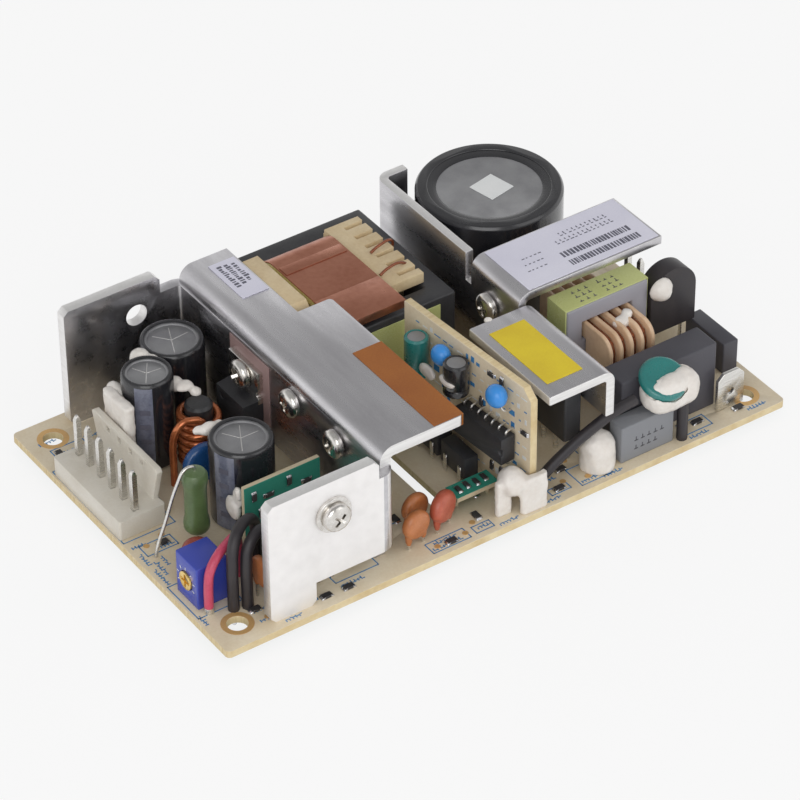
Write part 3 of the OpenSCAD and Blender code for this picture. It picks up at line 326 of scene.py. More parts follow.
def placed(piece: Thing, place: Vector, turn: Sequence[float] = (0.0, 0.0, 0.0)) -> Thing:
    """Turns a piece made at the origin and moves it to its place."""
    piece.location = place
    piece.rotation_euler = turn
    return settle(piece)


def cut(piece: Thing, *cutters: Thing) -> Thing:
    """Takes the cutters' volume out of a piece."""
    for cutter in cutters:
        modify(piece, "BOOLEAN", object=cutter, operation="DIFFERENCE", solver="EXACT")
        discard(cutter)
    return piece


def turned(name: str, profile: Sequence[tuple[float, float]], steps: int = 48) -> Thing:
    """A piece turned on a lathe about Z.

    Args:
        name: The piece's name.
        profile: Radius and height of each corner, in millimetres.
        steps: Facets round the axis.

    Returns:
        The piece, at the origin.
    """
    mesh = bpy.data.meshes.new(name)
    corners = [mm(radius, 0, height) for radius, height in profile]
    mesh.from_pydata(corners, [(i, i + 1) for i in range(len(corners) - 1)], [])
    piece = bpy.data.objects.new(name, mesh)
    bpy.context.scene.collection.objects.link(piece)
    modify(piece, "SCREW", steps=steps, render_steps=steps, use_merge_vertices=True, merge_threshold=1e-6)
    with editing(piece):
        bpy.ops.mesh.remove_doubles(threshold=1e-6)
        bpy.ops.mesh.normals_make_consistent(inside=False)
    return smooth(piece, 40)


def dress(piece: Thing, finish: "Finish") -> Thing:
    """Gives a whole piece one finish."""
    piece.data.materials.clear()
    piece.data.materials.append(finish.build())
    for face in piece.data.polygons:
        face.material_index = 0
    return piece


def paint(piece: Thing, finish: "Finish", chosen: Test) -> Thing:
    """Gives the faces that a test picks a finish of their own."""
    piece.data.materials.append(finish.build())
    index = len(piece.data.materials) - 1
    for face in piece.data.polygons:
        if chosen(local(face.center), face.normal):
            face.material_index = index
    return piece


def strips(
    name: str, places: Sequence[tuple[float, float, float, float]], height: float, thick: float = 0.03,
) -> Thing:
    """Flat strips of ink or foil lying on a face that looks up.

    Args:
        name: The piece's name.
        places: Low X, low Y, high X and high Y of each strip, in board millimetres.
        height: The face's height over the board.
        thick: How thick they are.

    Returns:
        The strips as one piece.
    """
    parts = [block(name, at(a, b, height), at(c, d, height + thick)) for a, b, c, d in places]
    return join(name, parts)


def puffy(name: str, radius: float, thick: float) -> Thing:
    """A dipped disc that faces Y, with a round rim, at the origin."""
    disc = bar(name, Vector(), radius * MM, thick * MM, Axis.Y, 32)
    return soften(disc, thick * 0.46, 4)


# ---------------------------------------------------------------- finishes


class Graph:
    """A node tree with short ways to add to it."""

    def __init__(self, tree: bpy.types.NodeTree) -> None:
        """Keeps the tree."""
        self.tree = tree

    def add(
        self, kind: str, inputs: dict[str | int, object] | None = None, **props: object,
    ) -> bpy.types.Node:
        """Adds a node; an input takes a value or another node's output.

        Args:
            kind: The node's type, without its ShaderNode prefix.
            inputs: Values or sockets by input name or number.
            props: The node's own settings.

        Returns:
            The node.
        """
        node = self.tree.nodes.new("ShaderNode" + kind)
        for key, value in props.items():
            setattr(node, key, value)
        for key, value in (inputs or {}).items():
            if isinstance(value, bpy.types.NodeSocket):
                self.tree.links.new(value, node.inputs[key])
            else:
                node.inputs[key].default_value = value
        return node

    def math(self, operation: str, *values: object) -> bpy.types.NodeSocket:
        """The result of a Math node on values or sockets."""
        return self.add("Math", dict(enumerate(values)), operation=operation).outputs[0]

    def mix(self, factor: object, first: object, second: object) -> bpy.types.NodeSocket:
        """One colour blended into another."""
        node = self.add("Mix", {0: factor, 6: first, 7: second}, data_type="RGBA")
        return node.outputs[2]

    def range(
        self, value: object, low: float, high: float, start: float = 0.0, end: float = 1.0,
    ) -> bpy.types.NodeSocket:
        """A value's range spread onto another, held at its ends."""
        return self.add("MapRange", {0: value, 1: low, 2: high, 3: start, 4: end}).outputs[0]

    def group(self, tree: bpy.types.NodeTree, inputs: dict[str | int, object]) -> bpy.types.Node:
        """Places a shared group with its own values."""
        node = self.tree.nodes.new("ShaderNodeGroup")
        node.node_tree = tree
        for key, value in inputs.items():
            if isinstance(value, bpy.types.NodeSocket):
                self.tree.links.new(value, node.inputs[key])
            else:
                node.inputs[key].default_value = value
        return node


def opaque(colour: Colour) -> tuple[float, float, float, float]:
    """A colour with its alpha."""
    return (*colour, 1.0)


def new_group(
    name: str, inputs: dict[str, str], outputs: dict[str, str],
) -> tuple[Graph, bpy.types.Node, bpy.types.Node]:
    """Starts a shader group with named sockets.

    Args:
        name: The group's name.
        inputs: Socket types by input name.
        outputs: Socket types by output name.

    Returns:
        Its graph, its input node and its output node.
    """
    tree = bpy.data.node_groups.new(name, "ShaderNodeTree")
    for label, kind in inputs.items():
        tree.interface.new_socket(label, in_out="INPUT", socket_type="NodeSocket" + kind)
    for label, kind in outputs.items():
        tree.interface.new_socket(label, in_out="OUTPUT", socket_type="NodeSocket" + kind)
    return Graph(tree), tree.nodes.new("NodeGroupInput"), tree.nodes.new("NodeGroupOutput")


def surface_group() -> bpy.types.NodeTree:
    """The uneven colour and fine relief that every finish has."""
    graph, given, out = new_group(
        "uneven_surface",
        {
            "Vector": "Vector", "Stretch": "Vector", "Tone": "Color", "Shade": "Color", "Patch": "Float",
            "Fine": "Float",
        },
        {"Colour": "Color", "Height": "Float", "Worn": "Float"},
    )
    drawn = graph.add(
        "VectorMath", {0: given.outputs["Vector"], 1: given.outputs["Stretch"]}, operation="MULTIPLY",
    ).outputs[0]
    patch = graph.add(
        "TexNoise", {"Vector": drawn, "Scale": given.outputs["Patch"], "Detail": 3.0},
    ).outputs[0]
    fine = graph.add("TexNoise", {"Vector": drawn, "Scale": given.outputs["Fine"], "Detail": 2.0}).outputs[0]
    worn = graph.range(
        graph.math("ADD", graph.math("MULTIPLY", patch, 0.7), graph.math("MULTIPLY", fine, 0.3)), 0.36,
        0.66,
    )
    graph.tree.links.new(graph.mix(worn, given.outputs["Tone"], given.outputs["Shade"]), out.inputs["Colour"])
    graph.tree.links.new(fine, out.inputs["Height"])
    graph.tree.links.new(worn, out.inputs["Worn"])
    return graph.tree


def dashes_group() -> bpy.types.NodeTree:
    """Rows of short dashes, such as plain printing that says nothing."""
    graph, given, out = new_group(
        "dashed_rows",
        {"Along": "Float", "Across": "Float", "Rows": "Float", "Dashes": "Float", "Cover": "Float"},
        {"Mask": "Float"},
    )
    across = graph.math("MULTIPLY", given.outputs["Across"], given.outputs["Rows"])
    row = graph.math("FLOOR", across)
    inside = graph.math(
        "LESS_THAN", graph.math("ABSOLUTE", graph.math("SUBTRACT", graph.math("FRACT", across), 0.5)), 0.24,
    )
    line = graph.add("CombineXYZ", {
        0: graph.math("MULTIPLY", given.outputs["Along"], given.outputs["Dashes"]),
        1: graph.math("MULTIPLY", row, 7.3),
    })
    noise = graph.add("TexNoise", {"Vector": line.outputs[0], "Scale": 1.0, "Detail": 1.0}).outputs[0]
    dark = graph.math("LESS_THAN", noise, given.outputs["Cover"])
    graph.tree.links.new(graph.math("MULTIPLY", dark, inside), out.inputs["Mask"])
    return graph.tree


class Groups:
    """The shared shader groups, each built once."""

    made: dict[str, bpy.types.NodeTree] = {}

    @classmethod
    def get(cls, builder: Callable[[], bpy.types.NodeTree]) -> bpy.types.NodeTree:
        """The group that a builder makes."""
        if builder.__name__ not in cls.made:
            cls.made[builder.__name__] = builder()
        return cls.made[builder.__name__]


@dataclass(frozen=True)
class Finish:
    """A plain finish with uneven colour, fine relief and a gloss that varies."""

    name: str
    tone: Colour
    shade: Colour
    rough: float
    metal: float = 0.0
    patch: float = 160.0
    fine: float = 2600.0
    relief: float = 0.12
    depth: float = 0.00008
    coat: float = 0.0
    grain: Grain = Grain.CLOUD

    def surface(self, graph: Graph) -> tuple[bpy.types.NodeSocket, bpy.types.NodeSocket,
            bpy.types.NodeSocket]:
        """The finish's colour, height and wear, from the piece's own place."""
        place = graph.add("TexCoord").outputs["Object"]
        made = graph.group(
            Groups.get(surface_group),
            {
                "Vector": place,
                "Stretch": self.grain.value,
                "Tone": opaque(self.tone),
                "Shade": opaque(self.shade),
                "Patch": self.patch,
                "Fine": self.fine,
            },
        )
        return made.outputs["Colour"], made.outputs["Height"], made.outputs["Worn"]

    def build(self) -> bpy.types.Material:
        """The material, built the first time it is asked for."""
        if self.name in bpy.data.materials:
            return bpy.data.materials[self.name]
        material = bpy.data.materials.new(self.name)
        material.use_nodes = True
        graph = Graph(material.node_tree)
        shader = next(n for n in graph.tree.nodes if n.type == "BSDF_PRINCIPLED")
        colour, height, worn = self.surface(graph)
        links = graph.tree.links
        links.new(colour, shader.inputs["Base Color"])
        links.new(
            graph.range(worn, 0.0, 1.0, max(0.04, self.rough - 0.06), min(1.0, self.rough + 0.08)),
            shader.inputs["Roughness"],
        )
        bump = graph.add("Bump", {"Strength": self.relief, "Distance": self.depth, "Height": height})
        links.new(bump.outputs[0], shader.inputs["Normal"])
        shader.inputs["Metallic"].default_value = self.metal
        shader.inputs["Coat Weight"].default_value = self.coat
        shader.inputs["Coat Roughness"].default_value = 0.15
        return material


class Paint:
    """The finishes of this power supply."""

    LAMINATE = Finish("tan_laminate", (0.80, 0.70, 0.53), (0.71, 0.59, 0.41), 0.5, fine=1800, coat=0.15)
    LAMINATE_EDGE = Finish(
        "laminate_edge", (0.83, 0.70, 0.44), (0.68, 0.52, 0.28), 0.72, fine=900, grain=Grain.LAYERS,
    )
    SOLDER_MASK = Finish("green_mask", (0.03, 0.16, 0.07), (0.02, 0.11, 0.05), 0.35, coat=0.3)
    SOLDER = Finish("bright_solder", (0.74, 0.74, 0.75), (0.52, 0.52, 0.54), 0.24, metal=1.0, patch=700)
    PAD = Finish("copper_pad", (0.80, 0.50, 0.20), (0.62, 0.38, 0.16), 0.4, metal=0.35)
    PRINT_BLUE = Finish("blue_print", (0.03, 0.19, 0.46), (0.07, 0.27, 0.52), 0.6, patch=900)
    SHEET = Finish(
        "rolled_sheet", (0.66, 0.65, 0.67), (0.52, 0.51, 0.53), 0.30, metal=1.0, patch=60, fine=1500,
        relief=0.05, grain=Grain.ROLLED,
    )
    SHEET_EDGE = Finish(
        "sheared_edge", (0.90, 0.89, 0.88), (0.78, 0.77, 0.76), 0.42, metal=0.85, fine=1800,
        grain=Grain.DRAWN,
    )
    # Painted light: a near white copy of the sheet finish for the front ear's front face. It is a painted
    # highlight standing in for the light that falls on that face.
    SHEET_LIT_FRONT = Finish(
        "painted_lit_face", (0.96, 0.94, 0.93), (0.90, 0.88, 0.87), 0.55, metal=0.35, patch=60, fine=1500,
        relief=0.04,
        grain=Grain.ROLLED,
    )
    PLATED = Finish("plated_steel", (0.78, 0.76, 0.73), (0.60, 0.57, 0.53), 0.22, metal=1.0, patch=420)
    TIN = Finish(
        "tin_plate", (0.80, 0.79, 0.76), (0.62, 0.60, 0.57), 0.28, metal=1.0, patch=300, grain=Grain.DRAWN,
    )
    MOULDING = Finish("black_moulding", (0.022, 0.022, 0.025), (0.04, 0.04, 0.044), 0.48, fine=3200)
    AMBER = Finish(
        "amber_film", (0.40, 0.125, 0.008), (0.31, 0.085, 0.005), 0.42, patch=80, relief=0.03, coat=0.15,
    )
    PAPER = Finish(
        "label_paper", (0.80, 0.79, 0.90), (0.72, 0.71, 0.83), 0.5, patch=90, fine=4000, relief=0.06,
    )
    INK = Finish("grey_ink", (0.10, 0.10, 0.14), (0.16, 0.16, 0.20), 0.6)
    FERRITE = Finish("black_ferrite", (0.030, 0.030, 0.034), (0.055, 0.055, 0.058), 0.42, fine=2200)
    BOBBIN = Finish("tan_bobbin", (0.74, 0.60, 0.38), (0.62, 0.47, 0.27), 0.45, fine=1600)
    COPPER = Finish(
        "copper_foil", (0.50, 0.22, 0.145), (0.40, 0.16, 0.10), 0.33, metal=0.9, patch=110, fine=900,
        relief=0.22, depth=0.0002,
    )
    WOUND_TAPE = Finish(
        "wound_tape", (0.62, 0.56, 0.24), (0.50, 0.43, 0.16), 0.4, coat=0.2, grain=Grain.LAYERS,
    )
    YELLOW_TAPE = Finish(
        "pale_yellow_tape", (0.66, 0.70, 0.30), (0.56, 0.60, 0.22), 0.3, patch=90, relief=0.05, coat=0.35,
    )
    CAN_TOP = Finish(
        "satin_can", (0.36, 0.36, 0.37), (0.27, 0.27, 0.28), 0.4, metal=0.55, patch=200, fine=5200,
    )
    SCORE = Finish("scored_metal", (0.85, 0.84, 0.82), (0.68, 0.66, 0.64), 0.3, metal=0.8)
    SLEEVE = Finish(
        "black_sleeve_film", (0.014, 0.014, 0.017), (0.022, 0.022, 0.026), 0.22, patch=120, relief=0.08,
        coat=0.5,
    )
    SLEEVE_MARK = Finish("sleeve_mark", (0.19, 0.20, 0.26), (0.10, 0.11, 0.16), 0.3, patch=700, coat=0.4)
    GREY_FERRITE = Finish("grey_ferrite", (0.050, 0.048, 0.050), (0.085, 0.082, 0.082), 0.55, fine=2400)
    RIB = Finish("peach_moulding", (0.83, 0.60, 0.40), (0.70, 0.47, 0.29), 0.4, fine=1400, coat=0.2)
    ENAMEL = Finish(
        "enamelled_wire", (0.34, 0.105, 0.045), (0.21, 0.055, 0.022), 0.24, metal=0.5, patch=500, coat=0.4,
    )
    COIL_WIRE = Finish(
        "enamelled_copper", (0.60, 0.185, 0.06), (0.40, 0.10, 0.032), 0.2, metal=0.65, patch=380, coat=0.5,
    )
    YELLOW_PATCH = Finish("plain_yellow", (0.86, 0.66, 0.012), (0.78, 0.57, 0.008), 0.35, coat=0.25)
    PATCH_BORDER = Finish("dark_border", (0.05, 0.045, 0.03), (0.08, 0.07, 0.04), 0.5)
    GREY_BOX = Finish("dark_grey_box", (0.066, 0.064, 0.078), (0.085, 0.083, 0.098), 0.5, fine=3000)
    LIGHT_BOX = Finish("grey_box", (0.24, 0.235, 0.255), (0.19, 0.185, 0.205), 0.5, fine=3000)
    RESIN = Finish("potting_resin", (0.13, 0.12, 0.14), (0.09, 0.085, 0.10), 0.3, patch=300)
    TEAL = Finish("teal_dip", (0.02, 0.24, 0.22), (0.012, 0.17, 0.16), 0.28, coat=0.6)
    SILICONE = Finish(
        "white_silicone", (0.88, 0.84, 0.79), (0.80, 0.74, 0.68), 0.34, patch=260, fine=1500, relief=0.3,
        depth=0.0002, coat=0.3,
    )
    NYLON = Finish("natural_nylon", (0.74, 0.70, 0.62), (0.66, 0.61, 0.52), 0.38, coat=0.25)
    BLUE_DIP = Finish("blue_dip", (0.018, 0.19, 0.64), (0.012, 0.13, 0.50), 0.2, coat=0.7)
    SKY_SLEEVE = Finish("blue_sleeve", (0.02, 0.10, 0.30), (0.015, 0.07, 0.22), 0.25, coat=0.5)
    GREEN_BOARD = Finish(
        "green_board", (0.015, 0.115, 0.062), (0.01, 0.085, 0.045), 0.3, patch=300, coat=0.35,
    )
    GREEN_RAW = Finish("board_edge", (0.66, 0.56, 0.40), (0.50, 0.42, 0.27), 0.6, grain=Grain.LAYERS)
    ROD = Finish("black_rod", (0.02, 0.02, 0.022), (0.04, 0.04, 0.042), 0.35, patch=600)
    OLIVE = Finish("olive_coat", (0.115, 0.185, 0.07), (0.085, 0.135, 0.05), 0.34, patch=380, coat=0.3)
    RED_BROWN = Finish("red_brown_dip", (0.33, 0.055, 0.03), (0.24, 0.035, 0.02), 0.35, coat=0.3)
    ORANGE_DIP = Finish("orange_dip", (0.56, 0.20, 0.07), (0.44, 0.145, 0.045), 0.36, patch=420, coat=0.25)
    RED_DIP = Finish("red_dip", (0.56, 0.13, 0.07), (0.44, 0.09, 0.05), 0.36, patch=420, coat=0.25)
    BLUE_HOUSING = Finish("blue_housing", (0.014, 0.028, 0.26), (0.01, 0.018, 0.19), 0.3, coat=0.4)
    BRASS = Finish("brass", (0.82, 0.60, 0.22), (0.66, 0.44, 0.13), 0.24, metal=1.0, patch=600)
    PINK_SLEEVE = Finish("red_sleeve", (0.66, 0.085, 0.16), (0.52, 0.05, 0.11), 0.38, patch=300, coat=0.2)
    BLACK_SLEEVE = Finish("black_tube", (0.024, 0.021, 0.026), (0.04, 0.034, 0.036), 0.45, patch=240)
    PINK_PAD = Finish("thermal_pad", (0.33, 0.22, 0.21), (0.26, 0.17, 0.16), 0.4, coat=0.2)
    CHIP_DARK = Finish("dark_chip", (0.03, 0.028, 0.03), (0.05, 0.045, 0.045), 0.5)
    CHIP_TAN = Finish("tan_chip", (0.52, 0.36, 0.19), (0.42, 0.28, 0.14), 0.45)
    WHITE_PRINT = Finish("white_print", (0.78, 0.80, 0.80), (0.66, 0.68, 0.68), 0.6)
    PALE_PATCH = Finish("pale_patch", (0.86, 0.87, 0.87), (0.80, 0.82, 0.82), 0.45, coat=0.2)


# ---------------------------------------------------------------- the board


@dataclass
class BoardWorks:
    """The circuit board with its print, pads, solder and flat parts."""

    pad_r: float = 3.1
    pad_thick: float = 0.04
    hole_inset: float = 5.715
    length: float = 127.0
    width: float = 76.2
    stroke: float = 0.22
    seed: int = 11

    def build(self) -> None:
        """Builds the board and all that is printed or soldered flat on it."""
        self.board()
        self.pads()
        self.solder()
        self.printing()
        self.flat_parts()

    def board(self) -> None:
        """The laminate: tan above, masked below, with a sawn edge."""
        piece = dress(shell_of("circuit_board", 0.1, 1), Paint.LAMINATE)
        paint(piece, Paint.LAMINATE_EDGE, lambda place, out: abs(out.z) < 0.5)
        paint(piece, Paint.SOLDER_MASK, lambda place, out: out.z < -0.9)
        stand(piece, "board", "circuit_board")

    def pads(self) -> None:
        """Copper rings round the holes and small pads between the parts."""
        rings = []
        for x in (self.hole_inset, self.length - self.hole_inset):
            for y in (self.hole_inset, self.width - self.hole_inset):
                ring = bar("hole_pads", at(x, y, self.pad_thick / 2), self.pad_r * MM, self.pad_thick * MM)
                hole = bar("hole", at(x, y), 2.02 * MM, MM)
                rings.append(cut(ring, hole))
        stand(dress(join("hole_pads", rings), Paint.PAD), "solder")
        spots = [(72.6, 8.2), (74.8, 10.6), (77.4, 4.6), (81.2, 9.4), (82.2, 3.2), (69.8, 10.4), (3.6, 33.4),
                 (7.6, 34.6), (9.2, 65.4), (6.4, 63.2), (47.4, 2.6), (53.8, 2.8), (56.6, 4.6), (11.2, 4.2)]
        dots = [soften(bar("vias", at(x, y, 0.04), 0.62 * MM, 0.1 * MM, sides=20), 0.03, 1) for x, y in spots]
        stand(dress(join("vias", dots), Paint.PAD), "solder")

    def solder(self) -> None:
        """The soldered leads under the board."""
        stand(dress(shell_of("solder_joints", 0.2), Paint.SOLDER), "solder", "solder_joints")

    def outline(self, x: float, y: float, w: float, d: float) -> list[tuple[float, float, float, float]]:
        """Four strokes round a part's place."""
        s = self.stroke
        return [
            (x, y, x + w, y + s), (x, y + d - s, x + w, y + d), (x, y, x + s, y + d),
            (x + w - s, y, x + w, y + d),
        ]

    def words(
        self, x: float, y: float, count: int, upright: bool, dice: random.Random,
    ) -> list[tuple[float, float, float, float]]:
        """A row of dashes that reads as small print and says nothing."""
        s = self.stroke
        marks = []
        for i in range(count):
            tall = dice.uniform(0.5, 1.05)
            shift = i * 0.72
            for k in range(2):
                along, across = shift + k * 0.3, (1.05 - tall) * k
                low = (x + across, y + along) if upright else (x + along, y + across)
                size = (tall, s) if (upright and k == 0) or (not upright and k == 1) else (s, tall)
                if k:
                    size = (0.45, s) if not upright else (s, 0.45)
                marks.append((low[0], low[1], low[0] + size[0], low[1] + size[1]))
        return marks

    def printing(self) -> None:
        """Blue outlines of the parts' places and rows of dashes."""
        dice = random.Random(self.seed)
        marks = []
        for frame_box in ((0.5, 10.6, 9.6, 10.8), (0.4, 36.2, 11.4, 25.8), (45.6, 1.2, 8.6, 3.2), (73.2,
                2.2, 4.6, 2.0),
                          (
                              79.6, 1.4, 7.2, 5.6,
                          ), (55.4, 1.4, 4.2, 2.2), (68.6, 5.8, 3.4, 5.4), (84.6, 9.6, 4.4, 3.6),
                          (2.2, 30.6, 6.8, 3.4), (3.2, 62.4, 7.2, 5.2), (
                              104.8, 2.2, 6.4, 3.6,
                          ), (16.2, 2.8, 5.2, 3.8),
                          (26.2, 4.6, 9.6, 5.2), (108.4, 31.2, 5.6, 9.4), (40.4, 12.6, 5.2, 12.4),
                          (110.6, 46.6, 9.2, 6.8)):
            marks += self.outline(*frame_box)
        for x, y, count, upright in ((0.7, 8.4, 4, True), (0.9, 21.8, 7, True), (2.2, 24.4, 6, True),
                (0.9, 28.4, 5, True),
                                     (3.9, 26.6, 4, True), (
                                         5.6, 31.2, 4, False,
                                     ), (1.0, 33.8, 4, False), (9.4, 3.4, 6, False),
                                     (9.6, 6.2, 4, False), (
                                         46.2, 1.7, 9, False,
                                     ), (47.2, 3.1, 7, False), (56.4, 2.2, 4, False),
                                     (
                                         60.4, 0.7, 6, False,
                                     ), (68.8, 1.0, 8, False), (70.2, 8.6, 4, False), (73.4, 6.0, 5, False),
                                     (75.2, 7.8, 6, False), (80.2, 2.0, 5, False), (84.6, 1.0, 6, False), (
                                         104.9, 0.8, 6, False,
                                     ),
                                     (3.6, 63.2, 6, False), (4.6, 65.2, 5, False), (
                                         10.8, 66.8, 4, False,
                                     ), (2.4, 69.6, 5, False),
                                     (26.6, 3.0, 7, False), (13.2, 0.9, 5, False), (115.6, 9.2, 4,
                                     True), (119.2, 1.4, 6, False)):
            marks += self.words(x, y, count, upright, dice)
        stand(dress(join("board_print", [strips("board_print", marks, 0)]), Paint.PRINT_BLUE), "board")

    def flat_parts(self) -> None:
        """Small chips soldered flat on the board, and their bright ends."""
        parts = ChipParts("board_chips")
        for x, y, turn in ((22.9, 2.6, 0), (27.6, 2.4, 0), (45.3, 13.4, 90), (50.3, 2.2, 0), (58.2, 5.6,
                90), (61.7, 11.2, 90),
                           (79.0, 7.6, 0), (86.3, 9.0, 90), (108.9, 4.2, 0), (118.0, 3.2, 0), (4.3, 65.5, 90),
                           (6.6, 32.4, 0), (10.3, 6.9, 0), (19.9, 4.4, 90), (75.6, 3.2, 0), (70.2, 7.2, 90)):
            parts.add(at(x, y), math.radians(turn))
        parts.finish("board")


@dataclass
class ChipParts:
    """Chip resistors and capacitors: dark or tan bodies with bright soldered ends."""

    name: str
    size: tuple[float, float, float] = (2.0, 1.25, 0.6)
    cap: float = 0.42

    def __post_init__(self) -> None:
        """Makes the two patterns that every chip is copied from."""
        long, wide, high = self.size
        self.body = soften(
            block("chip_body", mm(-long / 2, -wide / 2, 0.02), mm(long / 2, wide / 2, high)), 0.08, 1,
        )
        ends = []
        for side in (-1, 1):
            near, far = side * (long / 2 - self.cap), side * (long / 2 + 0.35)
            ends.append(block(
                "chip_end", mm(min(near, far), -wide / 2 - 0.04, 0.01),
                mm(max(near, far), wide / 2 + 0.04, high + 0.03),
            ))
            with editing(ends[-1], lambda centre, out, s=side: out.x * s > 0.9):
                bpy.ops.transform.resize(value=(1, 1, 0.3))
                bpy.ops.transform.translate(value=(0, 0, -high * 0.32 * MM))
        self.ends = soften(join("chip_end", ends), 0.1, 1)
        self.bodies: list[Thing] = []
        self.tips: list[Thing] = []

    def add(self, place: Vector, turn: float) -> None:
        """Puts one more chip down, lying flat."""
        self.bodies.append(copied(self.body, place, turn))
        self.tips.append(copied(self.ends, place, turn))

    def add_standing(self, place: Vector, face_turn: float, roll: float = 0.0) -> None:
        """Puts one more chip on an upright face whose outward side is -X turned about Z."""
        for pattern, rows in ((self.body, self.bodies), (self.ends, self.tips)):
            piece = placed(copied(pattern, Vector(), roll), Vector(), (0.0, -math.pi / 2, 0.0))
            rows.append(placed(piece, place, (0.0, 0.0, face_turn)))

    def finish(self, slot: str) -> None:
        """Joins the chips into one dark piece and one bright one."""
        discard(self.body)
        discard(self.ends)
        bodies = dress(join(self.name, self.bodies), Paint.CHIP_DARK)
        stand(bodies, slot)
        stand(dress(join(self.name + "_ends", self.tips), Paint.SOLDER), slot)


# ---------------------------------------------------------------- fixings and power devices


def screw(name: str, shank: float, twist: float = 0.0) -> Thing:
    """A pan head screw with a cross recess, seat at the origin and head along Z."""
    profile = [(0, -shank), (1.1, -shank), (1.45, -shank + 0.4), (1.45, 0), (2.5, 0), (2.85, 0.3), (2.9, 0.9),
               (2.75, 1.35), (2.35, 1.7), (1.6, 1.93), (0.7, 2.0), (0, 2.0)]
    piece = turned(name, profile, 40)
    for turn in (twist, twist + math.pi / 2):
        wedge = block("recess", mm(-1.85, -0.36, 0.9), mm(1.85, 0.36, 2.6))
        with editing(wedge, lambda centre, out: out.z < -0.5):
            bpy.ops.transform.resize(value=(0.45, 0.6, 1))
        cut(piece, placed(wedge, Vector(), (0, 0, turn)))
    return smooth(piece, 32)


TOWARDS_LEFT = (0.0, -math.pi / 2, 0.0)
TOWARDS_FRONT = (math.pi / 2, 0.0, 0.0)


@dataclass
class PowerDevice:
    """A tab mounted power device, modelled once, back against X = 0 and body towards +X."""

    width: float = 10.0
    depth: float = 4.5
    body_h: float = 9.0
    tab_t: float = 1.3
    tab_h: float = 6.2
    pitch: float = 2.54
    lead_x: float = 2.4
    hole_r: float = 1.65

    def body(self) -> Thing:
        """The moulded body with a draft on its front and a pin mark."""
        half = self.width / 2
        piece = block("device_body", mm(0.02, -half, 0), mm(self.depth, half, self.body_h))
        with editing(piece, lambda centre, out: out.x > 0.9):
            bpy.ops.transform.resize(value=(1, 0.93, 0.9))
        mark = bar("mark", mm(self.depth, -half + 2.2, self.body_h - 2.2), 0.7 * MM, 0.3 * MM, Axis.X, 24)
        return soften(cut(piece, mark), 0.22, 2)

    def metal(self) -> Thing:
        """The drilled tab and the three leads, wide at the top."""
        half = self.width / 2
        top = self.body_h + self.tab_h
        tab = block("device_tab", mm(0, -half, self.body_h - 1), mm(self.tab_t, half, top))
        hole = bar(
            "hole", mm(self.tab_t / 2, 0, self.body_h + self.tab_h * 0.58), self.hole_r * MM, 4 * MM,
            Axis.X,
        )
        nicks = [bar(
            "nick", mm(0.6, side * half, self.body_h + 1.2), 0.75 * MM, 4 * MM, Axis.X, 20,
        ) for side in (-1, 1)]
        parts = [soften(cut(tab, hole, *nicks), 0.12, 2)]
        for k in (-1, 0, 1):
            for wide, low, high in ((0.7, -2.6, 0.1), (0.4, -6.85, -2.4)):
                lead = block(
                    "lead", mm(self.lead_x - 0.25, k * self.pitch - wide, low),
                    mm(self.lead_x + 0.25, k * self.pitch + wide, high),
                )
                parts.append(soften(lead, 0.08, 1))
        return join("device_metal", parts)

    def place_all(self, name: str, node: str, places: Sequence[tuple[Vector, float]]) -> None:
        """Copies the device to its places; its body and its metal each become one piece."""
        for kind, pattern, finish in (
            ("bodies", self.body(), Paint.MOULDING), ("tabs", self.metal(), Paint.PLATED),
        ):
            rows = [copied(pattern, place, turn) for place, turn in places]
            discard(pattern)
            stand(
                dress(join(f"{name}_{kind}", rows), finish), "moulding" if kind == "bodies" else "steel",
                node,
            )


# ---------------------------------------------------------------- output side heatsink


